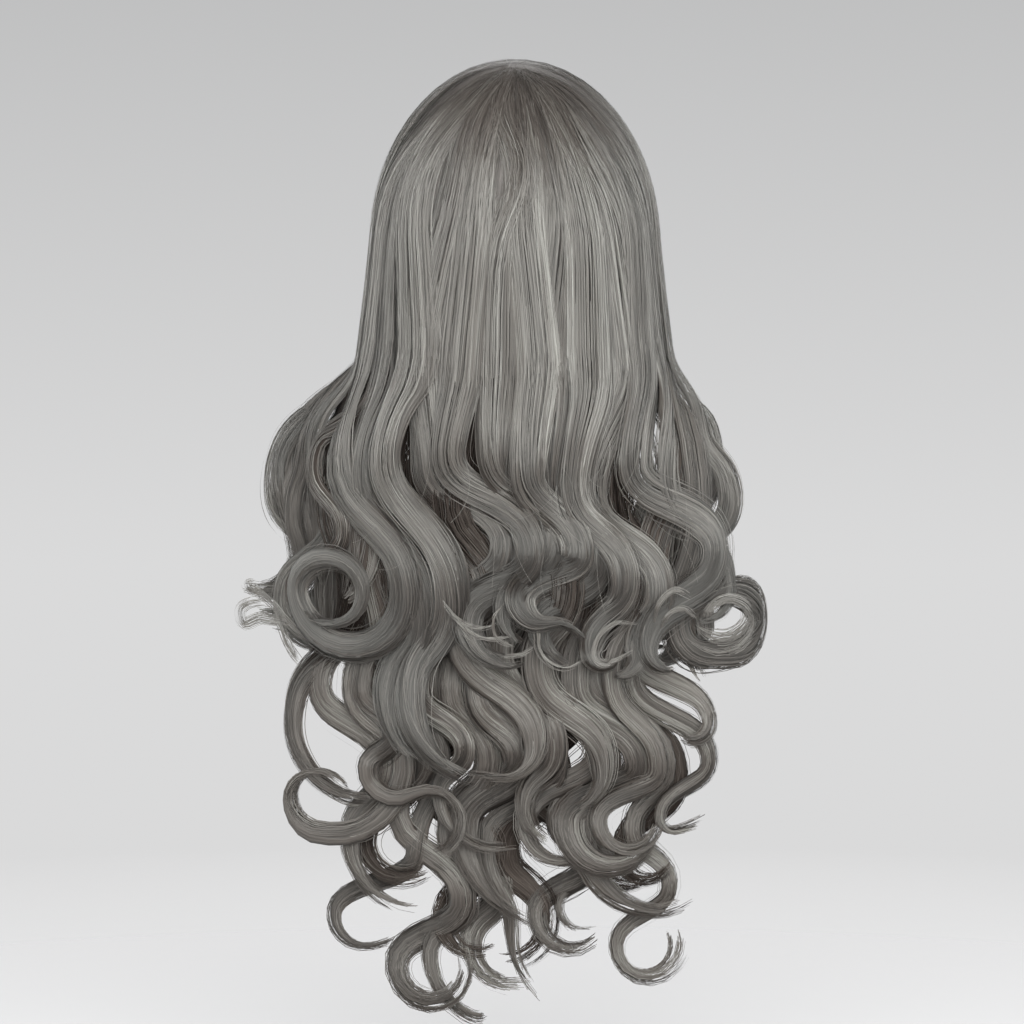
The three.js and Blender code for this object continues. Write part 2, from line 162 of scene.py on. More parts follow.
# degrees round from the back, layer, width, bends as place and drop, tail as radius and degrees,
# then for some a forward place and how wide the tip is
upperLocks = lockSeries("upper", [
    (-76, 0, 22, [(-121, 255), (-75, 349)], [(38, -180), (24, -330)], None, 0.55),
    (-61, 1, 24, [(-111, 262), (-62, 362), (-86, 425)], [(45, 60)]),
    (-46, 0, 26, [(-94, 245), (-44, 352), (-71, 420)], [(54, 76)]),
    (-30, 1, 22, [(-57, 263), (-6, 316), (-37, 363)], [(18, 95)]),
    (-18, 0, 22, [(-48, 247), (10, 320), (-31, 366)], [(28, 110)]),
    (-6, 1, 20, [(-15, 252), (26, 314), (-8, 362)], [(22, 70)]),
    (6, 0, 22, [(7, 263), (44, 322), (3, 352)], [(16, 100), (22, -70)]),
    (17, 1, 22, [(20, 266), (58, 329), (16, 371)], [(26, 80)]),
    (31, 0, 20, [(40, 272), (74, 340), (50, 387)], [(10, 160)]),
    (45, 1, 24, [(51, 280), (98, 350), (84, 390)], [(14, -110)]),
    (60, 0, 24, [(80, 259), (137, 322), (91, 386)], [(14, 110)]),
    (72, 1, 16, [(103, 263), (147, 350)], [(20, -100)]),
    (80, 2, 16, [(126, 290), (111, 372)], [(21, 88), (300, 3), (21, 185), (40, 55)], None, 1.3),
])
middleLocks = lockSeries("middle", [
    (-20, 2, 18, [(-37, 376), (13, 452)], [(22, -95), (250, -6)]),
    (-8, 3, 18, [(-12, 385), (26, 455), (6, 495)], [(24, 70)]),
    (13, 2, 18, [(15, 395), (60, 470)], [(26, -80)]),
    (26, 3, 18, [(40, 410), (84, 468), (35, 504)], [(31, 190)]),
])
lowerLocks = lockSeries("lower", [
    (-70, 3, 16, [(-153, 442)], [(50, 106)]),
    (-60, 4, 17, [(-135, 416), (-88, 468), (-112, 522)], [(42, 100)]),
    (-50, 3, 14, [(-111, 416), (-76, 467)], [(51, -88), (300, -2), (22, -270)], None, 0.5),
    (-38, 4, 15, [(-88, 419), (-62, 465), (-80, 497), (-36, 560), (-82, 605)], [(24, 215)]),
    (-44, 2, 11, [(-104, 415), (-84, 446), (-102, 470)], [(20, 125), (22, -210)]),
    (-30, 5, 12, [(-72, 415), (-50, 465), (-67, 526), (-124, 574)], [(20, 95), (45, 35)]),
    (-15, 5, 13, [(-45, 415), (-20, 465), (-46, 512), (-33, 563), (-58, 598)], [(42, 75), (6, 110)]),
    (-22, 6, 18, [(-50, 412), (-15, 462), (-40, 508), (-11, 552), (-32, 590)], [(26, 95), (150, 6)]),
    (-34, 3, 12, [(-66, 415), (-34, 455), (-52, 486)], [(36, 95), (120, 8)]),
    (-4, 4, 22, [(-22, 415), (5, 462), (-35, 508)], [(70, 60), (200, 6)]),
    (3, 5, 11, [(-5, 420), (30, 468), (-20, 520), (-2, 584)], [(50, 55)]),
    (16, 4, 14, [(22, 405), (57, 455), (8, 507)], [(25, 170)]),
    (24, 5, 16, [(30, 412), (64, 465), (30, 505), (50, 533), (14, 570)], [(24, 150)]),
    (36, 5, 8, [(45, 410), (80, 465), (48, 505), (64, 535), (30, 564)], [(16, 100), (45, 20)]),
    (42, 4, 15, [(52, 405), (85, 460), (45, 512)], [(55, 75), (40, 55)]),
    (50, 2, 12, [(65, 405), (98, 470), (57, 503)], [(20, 200)]),
    (56, 5, 11, [(70, 410), (105, 470), (80, 512), (106, 552), (69, 592)], [(23, 215)]),
    (67, 3, 15, [(79, 384), (133, 440)], [(11, -160)]),
    (62, 4, 12, [(80, 404), (133, 466), (98, 505)], [(10, 100), (80, 20)]),
])
frontLocks = lockSeries("left", [  # these have a forward place too
    (-88, 0, 16, [(-141, 255), (-127, 304), (-163, 362)], [(30, 130)], 5),
    (-96, 2, 18, [(-156, 308), (-140, 352)], [(24, -95), (150, -8)], 22, 1.0),
    (-103, 0, 26, [(-171, 283), (-146, 338)], [(22, -95), (150, -8)], 40, 1.0),
    (-111, 2, 22, [(-128, 262), (-104, 330), (-130, 392)], [(22, 110)], 60),
    (-119, 0, 20, [(-98, 255), (-112, 320), (-84, 385)], [(20, -120)], 80),
]) + lockSeries("right", [
    (90, 0, 18, [(132, 236), (152, 290), (122, 345)], [(26, -110)], 8),
    (97, 2, 18, [(138, 275), (118, 335), (128, 385)], [(22, -120)], 24),
    (104, 0, 20, [(144, 268), (124, 330), (138, 380)], [(20, -140)], 42),
    (112, 2, 22, [(126, 258), (102, 326), (126, 390)], [(24, -110)], 62),
    (119, 0, 20, [(96, 252), (110, 322), (82, 380)], [(18, 130)], 80),
])


def smooth(low, high, value):
    share = np.clip((np.asarray(value, float) - low) / (high - low), 0, 1)
    return share * share * (3 - 2 * share)


def lerp(first, second, share):
    return first + (second - first) * share


def unit(vectors):
    return vectors / np.maximum(np.linalg.norm(vectors, axis=-1, keepdims=True), 1e-9)


def edgeLevel(edge, degrees):  # height of a lower edge, eased between the rows of its table
    places = np.array(list(edge))
    levels = np.array(list(edge.values()), float)
    place = np.clip(np.abs(degrees), 0, 180)
    row = np.clip(np.searchsorted(places, place, side="left"), 1, len(places) - 1)
    return lerp(levels[row - 1], levels[row], smooth(places[row - 1], places[row], place))


def domePoint(dome, degrees, run, sink=0.0):  # a run down from the crown, sunk below the dome's surface
    degrees, run, sink = np.broadcast_arrays(np.radians(degrees), run, sink)
    tilt = np.minimum(run / quarterRun, 1) * (math.pi / 2)
    below = np.maximum(run - quarterRun, 0)
    reach = np.sin(tilt) * (1 + dome["flare"] * below)
    backward = np.cos(degrees)
    depth = np.where(backward > 0, dome["back"], dome["front"]) - sink
    height = dome["crown"] - sink - dome["widest"]
    return np.stack([
        (dome["breadth"] - sink) * reach * np.sin(degrees),
        -depth * reach * backward,
        dome["widest"] + height * np.cos(tilt) - below,
    ], axis=-1)


def runToLevel(dome, level):
    level = np.asarray(level, float)
    share = np.clip((level - dome["widest"]) / (dome["crown"] - dome["widest"]), 0, 1)
    return np.where(level <= dome["widest"], quarterRun + dome["widest"] - level,
                    quarterRun * np.arccos(share) / (math.pi / 2))


def hangPoint(degrees):  # where a lock leaves the crown hair
    return domePoint(hairDome, degrees, runToLevel(hairDome, -hang["drop"]))


def isBehind(piece):  # a lock whose root is hidden by the outer hair
    return piece["layer"] > 1 and piece["forward"] is None and piece["name"] not in sectors


def lockCourse(piece):  # sideways place and drop along a lock, how far along its tail, and the tail's radius
    edge = hangPoint(piece["root"])
    edge = edge * [strandLook["rootInset"] if isBehind(piece) else 1, 1, 1]
    rise = strandLook["rootRise"] if isBehind(piece) or piece["sunk"] else 0
    stops = [(edge[0], hang["drop"] - rise)]
    first = piece["bends"][0]
    if first[1] > hiddenWaves[-1][0]:
        for drop, swing in hiddenWaves:
            share = (drop - hang["drop"]) / (first[1] - hang["drop"])
            stops.append((lerp(edge[0], first[0], share) + swing, drop))
    stops += piece["bends"]
    places = [stops[0]]
    steps = np.linspace(0, 1, hang["bendSteps"] + 1)[1:]
    for (x0, y0), (x1, y1) in zip(stops, stops[1:]):
        handle = (y1 - y0) * hang["handle"]
        for t in steps:
            s = 1 - t
            near, far = s * s * s + 3 * s * s * t, 3 * s * t * t + t * t * t
            drop = s ** 3 * y0 + 3 * s * s * t * (y0 + handle) + 3 * s * t * t * (y1 - handle) + t ** 3 * y1
            places.append((x0 * near + x1 * far, drop))
    curl = [0.0] * len(places)
    radii = [hang["straight"]] * len(places)
    full = sum(abs(degrees) for _, degrees in piece["tail"])
    heading, turned = 0.0, 0.0
    for radius, degrees in piece["tail"]:
        count = max(3, round(abs(degrees) / hang["tailStep"]))
        signed = math.copysign(radius, degrees)
        x0, y0 = places[-1]
        for step in range(1, count + 1):
            now = heading + math.radians(degrees * step / count)
            places.append((x0 + signed * (math.cos(heading) - math.cos(now)),
                           y0 + signed * (math.sin(now) - math.sin(heading))))
            turned += abs(degrees) / count
            curl.append(turned / full)
            radii.append(radius)
        heading += math.radians(degrees)
    return np.array(places), np.array(curl), np.array(radii)


def ovalPlace(across, drop, breadth, back, upward):  # a place on an oval level and the way out from it
    share = np.clip(across / breadth, -hang["farthest"], hang["farthest"])
    y = -back * np.sqrt(1 - share * share)
    return np.stack([across, y, -drop], -1), unit(np.stack([share / breadth, y / back ** 2, upward], -1))


def backPlace(across, drop, depth, shift=0.0, gain=1.0):  # in the hanging back hair
    edge = 1 + hairDome["flare"] * (hang["drop"] + hairDome["widest"])
    wave = np.cos(2 * math.pi * (drop - hang["bulgeCrest"] - shift) / hang["bulgePitch"])
    begun = smooth(hang["bulgeStart"] + shift, hang["bulgeFull"] + shift, drop)
    swell = hang["bulge"] * (gain * wave - (gain - 1) / 2) * begun
    spread = smooth(hang["drop"], hang["fullDrop"], drop)
    breadth = lerp(hairDome["breadth"] * edge, hang["fullSpread"], spread) - hang["sideInset"] * depth
    return ovalPlace(across, drop, breadth, hairDome["back"] * edge + swell - depth, 0 * drop)


def crownPlace(across, drop, depth):  # above the hanging edge
    rise = np.maximum(-drop - hairDome["widest"], 0)
    height = hairDome["crown"] - hairDome["widest"] - depth
    level = np.sqrt(1 - np.clip(rise / height, 0, hang["highest"]) ** 2)
    level = level * (1 + hairDome["flare"] * np.maximum(drop + hairDome["widest"], 0))
    breadth, back = (hairDome["breadth"] - depth) * level, (hairDome["back"] - depth) * level
    return ovalPlace(across, drop, breadth, back, rise / height ** 2)


def surfacePlace(across, drop, depth):
    upper, lower = crownPlace(across, drop, depth), backPlace(across, drop, depth)
    return [np.where((drop < hang["drop"])[..., None], high, low) for high, low in zip(upper, lower)]


def frontPlace(piece, across, drop, depth, shift):  # beside the face
    edge = hangPoint(piece["root"])
    fall = smooth(hang["drop"], hang["frontFall"], drop)
    wave = np.sin(2 * math.pi * (drop - hang["bulgeCrest"] - shift) / hang["bulgePitch"])
    wave = wave * hang["frontWave"] * fall
    finish = lerp(hang["backFacing"], hang["frontFacing"], smooth(0, hang["facingRun"], piece["forward"]))
    facing = np.radians(lerp(abs(piece["root"]), finish, smooth(hang["drop"], hang["fullDrop"], drop)))
    out = np.stack([math.copysign(1, piece["root"]) * np.sin(facing), -np.cos(facing), 0 * facing], -1)
    centre = np.stack([across, lerp(edge[1], piece["forward"], fall) + wave, -drop], -1)
    return centre - out * depth[:, None], out


strandLook = {  # lengths in mm
    "step": 12.0, "hiddenStep": 24.0, "turn": 0.29, "hiddenTurn": 0.5, "fewest": 16, "most": 44,  # stations
    "outer": 190, "under": 165, "inner": 95, "perWidth": 20,  # strands for a lock of this width
    "width": 0.52, "widthRange": (0.7, 1.3), "tipWidth": 0.3, "tipFrom": 0.72, "roundness": 22,
    "roll": 0.1, "clumpRoll": 0.1, "pitch": 0.05, "clumpPitch": 0.06, "slant": 0.8,
    "clump": 3.0, "gather": 0.28, "gatherFrom": 0.15, "shell": 0.35,
    "ragged": 0.11, "clumpShort": 0.55, "strandShort": 0.45, "shortForm": (1.2, 2.2),  # uneven ends
    "spin": 0.5, "twist": 0.35, "twists": 1.3,  # how a lock turns about itself
    "tone": 0.5, "toneSpread": 0.12, "clumpTone": 0.13, "lockTone": 0.03, "curlPaintedLightShade": 0.26, "edgePaintedShade": 0.12,
    "hiddenAbove": 40.0, "hiddenEase": 25.0, "hiddenUneven": 10, "hiddenPaintedShade": 0.36,  # painted shade where the long locks run behind the curls
    "lowPaintedShade": 0.3, "lowShadeFrom": (225, 285), "underPaintedShade": 0.06, "innerPaintedShade": 0.2,
    "clumpCurl": 0.045, "strandCurl": 0.012, "curlRange": (-0.15, 0.06),  # each strand's own curl
    "wander": 0.8, "slow": (0.7, 2.0), "fast": (4, 9), "rooted": 40,
    "clumpWander": 1.6, "clumpSlow": (0.8, 1.8), "clumpFast": (2.5, 4),
    "stray": 0.02, "strayReach": 2.6, "strayWidth": 0.4, "loose": 0.12, "looseSpread": 0.6,
    "blendRun": 125, "sideRun": 85, "backRoots": (-85, 70), "crownShare": 0.28,  # leaving the crown
    "taperStart": 0.8, "tipShare": 0.36, "widen": 1.3,
    "shift": 12.0, "shiftSpread": 6, "gain": (0.75, 0.2), "curl": 13.0,  # the waves differ round the back
    "rootInset": 0.8, "rootRise": 34.0, "rootDeep": 12.0, "rootEase": 30,  # the hidden hair is spread out
    "underRoot": 19.0, "underGather": (0.45, 0.98),  # before it gathers into a lock
}

sweeps = {  # how far the hair above each lock is combed aside, in mm
    "upper_02": 6, "upper_03": 13, "upper_04": -10, "upper_05": -5, "upper_07": 7, "upper_08": -11,
    "upper_09": -4, "upper_10": 6, "upper_11": -8, "upper_12": -2,
}
sweepLook = {"lowAt": 190, "lowRun": 58, "highAt": 92, "highRun": 46, "highShare": 0.4, "across": 112}


def sweepTurn(piece, drop):  # the same as degrees round the head
    low = np.exp(-((drop - sweepLook["lowAt"]) / sweepLook["lowRun"]) ** 2)
    high = np.exp(-((drop - sweepLook["highAt"]) / sweepLook["highRun"]) ** 2)
    aside = sweeps.get(piece["name"], 0) * (low - sweepLook["highShare"] * high)
    return np.degrees(aside / sweepLook["across"])


def ease(values, times):  # even out a row of values
    for _ in range(times):
        values = np.convolve(np.pad(values, 1, mode="edge"), [0.25, 0.5, 0.25], mode="valid")
    return values


def between(values, at):  # the values at places between their rows
    low = np.minimum(at.astype(int), len(values) - 2)
    part = (at - low).reshape(at.shape + (1,) * (values.ndim - 1))
    return values[low] * (1 - part) + values[low + 1] * part


def firstDrop(piece):  # where a lock that starts behind the others comes into view
    return max(piece["bends"][0][1], hang["hiddenDrop"])


def lockLine(piece):  # the middle line of a lock, with stations closer together where it curls
    flat, curl, radius = lockCourse(piece)
    place, drop = flat[:, 0], flat[:, 1]
    depth = hang["firstLayer"] + piece["layer"] * hang["layerPitch"] - hang["tailLift"] * curl
    deeper = piece["sunk"] or (strandLook["rootDeep"] if isBehind(piece) else 0)
    depth = depth + deeper * smooth(hang["fullDrop"] - strandLook["rootEase"], hang["drop"], drop)
    slope = np.gradient(flat, axis=0)
    slope = slope[:, 0] / np.maximum(np.linalg.norm(slope, axis=1), 1e-6) * (1 - smooth(0, 0.25, curl))
    slope = ease(slope, 6) * smooth(hang["bulgeStart"], hang["bulgeFull"], drop)
    if piece["forward"] is None:
        depth = depth + strandLook["curl"] * slope ** 2  # a lock sinks in between its turns
        turn = math.radians(piece["root"])
        shift = strandLook["shift"] * math.sin(6.3 * turn + 1) + dice.normal(0, strandLook["shiftSpread"])
        gain = strandLook["gain"][0] + strandLook["gain"][1] * math.sin(9.7 * turn + 2.2)
        centre, out = backPlace(place, drop, depth, shift, gain)
    else:
        shift = strandLook["shift"] * math.sin(0.9 * piece["root"])
        centre, out = frontPlace(piece, place, drop, depth, shift)
    step = np.linalg.norm(np.diff(centre, axis=0), axis=1)
    run = np.concatenate([[0], np.cumsum(step)])
    along = unit(np.gradient(centre, run, axis=0))
    turn = np.arccos(np.clip(np.sum(along[1:] * along[:-1], axis=1), -1, 1))
    hidden = (piece["layer"] > 1) & (piece["forward"] is None) & (centre[1:, 2] > -hang["hiddenDrop"])
    spacing = np.where(hidden, strandLook["hiddenStep"], strandLook["step"])
    bending = np.where(hidden, strandLook["hiddenTurn"], strandLook["turn"])
    effort = np.concatenate([[0], np.cumsum(step / spacing + turn / bending)])
    count = int(np.clip(round(effort[-1]), strandLook["fewest"], strandLook["most"]))
    at = np.interp(np.linspace(0, effort[-1], count), effort, np.arange(len(run)))
    centre, along, run = between(centre, at), unit(between(along, at)), between(run, at)
    radius, slope, curl, out = [between(values, at) for values in (radius, slope, curl, out)]
    out = unit(out - along * np.sum(out * along, axis=1, keepdims=True))
    share = run / run[-1]
    taper = smooth(strandLook["taperStart"], 1, share)
    widen = strandLook["widen"] if piece["layer"] > 1 else 1
    half = piece["width"] / 2 * widen * lerp(1, strandLook["tipShare"], taper)
    half = half * lerp(1, piece["ending"], smooth(0, 0.9, curl))
    half = ease(np.minimum(half, radius * hang["tightest"]), 3)  # it narrows evenly into a curl
    thick = lerp(hang["thickness"], hang["tipThickness"], taper) / 2
    start = max(int(np.argmax(curl > 0)) - 1, 0)
    # painted light and shade: along its waves a lock is lighter where it slopes one way and darker where it
    # slopes the other
    shade = strandLook["curlPaintedLightShade"] * slope
    # painted shade: the locks under the outer hair are darkened, the lowest inner locks most
    if piece["name"] not in sectors:
        shade = shade - strandLook["innerPaintedShade" if piece["name"].startswith("low_inner") else "underPaintedShade"]
    # painted shade: the outer back locks grow darker below the given drop, where less light reaches them
    elif piece["forward"] is None:
        shade = shade - strandLook["lowPaintedShade"] * smooth(*strandLook["lowShadeFrom"], -centre[:, 2])
    if piece["layer"] > 1:
        gathered = smooth(*strandLook["underGather"], -centre[:, 2] / firstDrop(piece))
        half = lerp(np.maximum(half, strandLook["underRoot"]), half, gathered)
    return {"centre": centre, "out": out, "side": np.cross(out, along), "run": run, "share": share,
            "half": half, "thick": thick, "shade": shade, "curl": curl, "tailAt": centre[start]}


bakeLook = {"edges": (0.12, 0.88), "ends": (0.002, 0.998), "inset": 0.1}  # where a strip lies in its place


class Bundle:  # strands and sheets gathered into one mesh, each with its own strip of the bake layout
    def __init__(self):
        self.points, self.faces, self.layout, self.normals = [], [], [], []
        self.tone, self.reach, self.seed, self.skin = [], [], [], []
        self.pointCount = 0
        self.stripCount = 0

    def keep(self, points, faces, normals, strips, skin, *values):
        across, up, tone, reach, seed = [np.broadcast_to(row, points.shape[:-1]).ravel() for row in values]
        self.points.append(points.reshape(-1, 3))
        self.faces.append(faces.reshape(-1, 4) + self.pointCount)
        self.normals.append(normals.reshape(-1, 3))
        self.layout.append(np.stack([across + self.stripCount, up], -1))
        self.tone.append(tone)
        self.reach.append(reach)
        self.seed.append(seed)
        self.skin.append(np.broadcast_to(skin, faces.shape[:2]).ravel())
        self.pointCount += points.size // 3
        self.stripCount += strips

    def addStrands(self, path, side, out, width, tone, reach, seed, skin=0):  # flat, shaded as round
        count, stations = path.shape[:2]
        offset = side * (width[..., None] / 2)
        points = np.stack([path - offset, path + offset], axis=2)
        bend = math.radians(strandLook["roundness"])
        normals = np.stack([out * math.cos(bend) - side * math.sin(bend),
                            out * math.cos(bend) + side * math.sin(bend)], axis=2)
        index = np.arange(count * stations * 2).reshape(count, stations, 2)
        faces = np.stack([index[:, :-1, 0], index[:, 1:, 0], index[:, 1:, 1], index[:, :-1, 1]], -1)
        across = np.arange(count)[:, None, None] + np.array(bakeLook["edges"])
        up = np.linspace(*bakeLook["ends"], stations)[None, :, None]
        self.keep(points, faces, normals, count, skin, across, up,
                  tone.reshape(count, -1, 1), reach[..., None], seed[:, None, None])

    def addSheet(self, grid, reach, strips, skin, tone=0.5, seed=(0.5, 0.5)):
        rows, columns = grid.shape[:2]
        normals = np.cross(np.gradient(grid, axis=1), np.gradient(grid, axis=0))
        if np.abs(normals[0]).max() < 1e-6:  # the rows start from one point
            normals[0] = normals[1].mean(axis=0)
        index = np.arange(rows * columns).reshape(rows, columns)
        faces = np.stack([index[:-1, :-1], index[:-1, 1:], index[1:, 1:], index[1:, :-1]], -1)
        across = np.linspace(bakeLook["inset"], strips - bakeLook["inset"], columns)[None, :]
        up = np.linspace(*bakeLook["ends"], rows)[:, None]
        self.keep(grid, faces, unit(normals), strips, skin, across, up,
                  tone, reach[:, None], np.linspace(*seed, columns)[None, :])

    def build(self, name, materials, nodes):
        mesh = bpy.data.meshes.new(name)
        points = np.concatenate(self.points) * mm
        faces = np.concatenate(self.faces)
        layout = np.concatenate(self.layout)
        layout[:, 0] /= self.stripCount
        mesh.vertices.add(len(points))
        mesh.vertices.foreach_set("co", points.astype(np.float32).ravel())
        mesh.loops.add(faces.size)
        mesh.loops.foreach_set("vertex_index", faces.astype(np.int32).ravel())
        mesh.polygons.add(len(faces))
        mesh.polygons.foreach_set("loop_start", np.arange(0, faces.size, 4, dtype=np.int32))
        mesh.polygons.foreach_set("material_index", np.concatenate(self.skin).astype(np.int32))
        mesh.polygons.foreach_set("use_smooth", np.ones(len(faces), bool))
        mesh.update(calc_edges=True)
        mesh.use_auto_texspace = False  # every piece takes its sheen from the same upright axis
        mesh.texspace_location, mesh.texspace_size = (0, 0, -0.3), (0.2, 0.2, 0.4)
        bake = mesh.uv_layers.new(name="OFBake")
        bake.data.foreach_set("uv", layout[faces.ravel()].astype(np.float32).ravel())
        mesh.normals_split_custom_set_from_vertices(np.concatenate(self.normals).astype(np.float32))
        for label, values in (("tone", self.tone), ("reach", self.reach), ("seed", self.seed)):
            mesh.attributes.new(label, "FLOAT", "POINT").data.foreach_set(
                "value", np.concatenate(values).astype(np.float32))
        for material in materials:
            mesh.materials.append(material)
        piece = addObject(name, mesh)
        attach(piece, "root")
        if nodes:
            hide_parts(*nodes)
        return 2 * len(faces)


hairShade = {
    "dark": colour(0.013, 0.0094, 0.0078), "middle": colour(0.059, 0.0492, 0.0425),
    "light": colour(0.143, 0.138, 0.122), "sheen": colour(0.97, 1.0, 0.95), "bend": 1.55,
    "rootDark": 0.06, "rootRun": 7.0, "streak": 1.1, "streakAcross": 500, "streakAlong": 14,
    "rough": 0.38, "roughSpread": 0.38, "drawn": 0.75, "relief": 0.8, "reliefHeight": 0.0006,
}


def hairMaterial(name, gloss):
    shader = newMaterial(name)
    tone, reach, seed = shader.attribute("tone"), shader.attribute("reach"), shader.attribute("seed")
    along = shader.add("ShaderNodeCombineXYZ", {}, {
        0: seed * hairShade["streakAcross"], 1: reach * hairShade["streakAlong"]})
    streak = shader.add("ShaderNodeTexNoise", {}, {"Vector": along, "Scale": 1.0, "Detail": 2.0})
    root = shader.clip(1 - reach * hairShade["rootRun"]) * hairShade["rootDark"]
    # the tone attribute holds each strand's own tone together with the painted light and shade added to it
    level = tone + (streak - 0.5) * hairShade["streak"] - root
    low = shader.blend(shader.clip(level * 2), hairShade["dark"], hairShade["middle"])
    base = shader.blend(shader.clip(level * 2 - 1), low, hairShade["light"])
    rough = (1 - shader.clip(level)) * hairShade["roughSpread"] + hairShade["rough"]
    relief = shader.add("ShaderNodeBump", {}, {
        "Strength": hairShade["relief"], "Distance": hairShade["reliefHeight"], "Height": streak})
    return shader.done(shader.add("ShaderNodeBsdfPrincipled", {}, {
        "Base Color": base, "Roughness": rough, "Normal": relief, "Specular IOR Level": gloss,
        "IOR": hairShade["bend"], "Specular Tint": hairShade["sheen"], "Anisotropic": hairShade["drawn"]}))


coreShade = {
    "dark": colour(0.06, 0.052, 0.047), "light": colour(0.13, 0.12, 0.11), "rough": 0.6,
    "stretch": (900.0, 5.0, 1.0), "contrast": 2.4, "offset": 0.7, "relief": 0.5, "reliefHeight": 0.001,
}


def coreMaterial():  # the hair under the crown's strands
    shader = newMaterial("inner hair")
    layout = shader.add("ShaderNodeUVMap", {"uv_map": "OFBake"}, {})
    stretched = shader.add("ShaderNodeVectorMath", {"operation": "MULTIPLY"}, {
        0: layout, 1: coreShade["stretch"]})
    streak = shader.add("ShaderNodeTexNoise", {}, {"Vector": stretched, "Scale": 1.0, "Detail": 3.0})
    level = shader.clip(streak * coreShade["contrast"] - coreShade["offset"])
    base = shader.blend(level, coreShade["dark"], coreShade["light"])
    bump = shader.add("ShaderNodeBump", {}, {
        "Strength": coreShade["relief"], "Distance": coreShade["reliefHeight"], "Height": streak})
    return shader.done(shader.add("ShaderNodeBsdfPrincipled", {}, {
        "Base Color": base, "Roughness": coreShade["rough"], "Normal": bump}))


hairLook = hairMaterial("ash grey hair", 1.0)
# Shaded copies of the hair material: their lower gloss stands in for the shade on the lower locks and, deeper
# still, on the inner hair.
lowerShadedLook = hairMaterial("ash grey lower hair, shaded copy", 0.6)
innerShadedLook = hairMaterial("ash grey inner hair, shaded copy", 0.08)
coreLook = coreMaterial()


def ripple(count, height, turns, share):  # a wave of its own height, pace and start along each strand
    size = dice.normal(0, height, (count, 1))
    pace = dice.uniform(*turns, (count, 1)) * share
    return size * np.sin(2 * math.pi * (pace + dice.uniform(0, 1, (count, 1))))


def wander(count, share, slow, fast, size):  # a sideways drift along each strand, growing towards its tip
    drift = ripple(count, 1, slow, share)
    fine = ripple(count, 0.35, fast, share)
    return (drift + fine) * size * (0.35 + 0.65 * share)


def scatter(values, factor):  # spreads values from 0 to 1 without a new draw
    return np.abs(values) * factor % 1


def leanOver(side, out, face, lean):  # a strand's flat way and its shaded face, leant about its own line
    lean = lean[..., None]
    return side * np.cos(lean) - out * np.sin(lean), face * np.cos(lean) + side * np.sin(lean)


def clumpPlaces(count):  # spread over a disc like the seeds of a sunflower
    seed = np.arange(count) + 0.5
    radius = 0.82 * np.sqrt(seed / count)
    return np.stack([radius * np.cos(2.4 * seed), radius * np.sin(2.4 * seed)], -1)


crownLook = {
    "stations": 13, "fallStations": 2, "domeShare": 0.86, "fallShare": 0.14, "settleFrom": 0.45, "easing": 2,
    "partingAt": [0, 76, 90, 106, 124], "partingTo": [-36.0, -36.0, -6, 42, 92],  # degrees, place
    "partingSide": 0.2, "partingShift": -6.0, "whorlRing": 5.0, "jitter": 6,
    "swing": 8.0, "swingTurns": 0.8, "sway": 1.7, "swayTurns": (0.6, 1.6),
    "overlap": 6.0, "uneven": 34.0, "weave": 44.0,  # how the strands end and the locks begin
    "sink": 1.4, "layerDepth": 1.7, "layerSink": 2.2, "valley": 1.8, "lean": 0.34,
    "spread": 1.55, "sideSpread": 5.0,
    "emerge": 1.4, "emergeRun": 0.05, "lateShare": 0.55, "late": (0.05, 0.55), "lateSink": 2.5,  # later roots
}


def rootSectors():  # how far round the crown each outer lock's hair spreads
    outer = sorted(upperLocks + frontLocks, key=lambda piece: piece["root"])
    roots = [piece["root"] for piece in outer]
    sectors = {}
    for number, piece in enumerate(outer):
        low, high = -crownLook["sideSpread"], crownLook["sideSpread"]
        if number:
            low = (roots[number - 1] - roots[number]) / 2
        if number + 1 < len(roots):
            high = (roots[number + 1] - roots[number]) / 2
        sectors[piece["name"]] = (low * crownLook["spread"], high * crownLook["spread"])
    return sectors


def partingStart(degrees, jitter):  # where on the parting a strand that hangs at this place grows
    offBack = np.abs(degrees)
    forward = np.interp(offBack, crownLook["partingAt"], crownLook["partingTo"])
    ring = crownLook["whorlRing"] * smooth(84, 60, offBack)
    y = forward - ring * np.cos(np.radians(degrees)) + jitter * smooth(76, 90, offBack)
    x = (np.sign(degrees) * crownLook["partingSide"] + crownLook["partingShift"]) * smooth(60, 90, offBack)
    x = x + ring * np.sin(np.radians(degrees)) + jitter * 0.5 * smooth(90, 60, offBack)
    span = np.where(y < 0, hairDome["back"], hairDome["front"])
    start = np.stack([x / hairDome["breadth"], y / span, 0 * x], -1)
    start[:, 2] = np.sqrt(1 - start[:, 0] ** 2 - start[:, 1] ** 2)
    return start


def onDome(direction, sink):  # a point of the hair dome from a direction on a round ball
    span = np.where(direction[..., 1] < 0, hairDome["back"], hairDome["front"])
    size = np.stack([np.full_like(span, hairDome["breadth"]), span,
                     np.full_like(span, hairDome["crown"] - hairDome["widest"])], -1)
    place = direction * (size - sink[..., None])
    place[..., 2] += hairDome["widest"]
    return place, unit(direction / size)


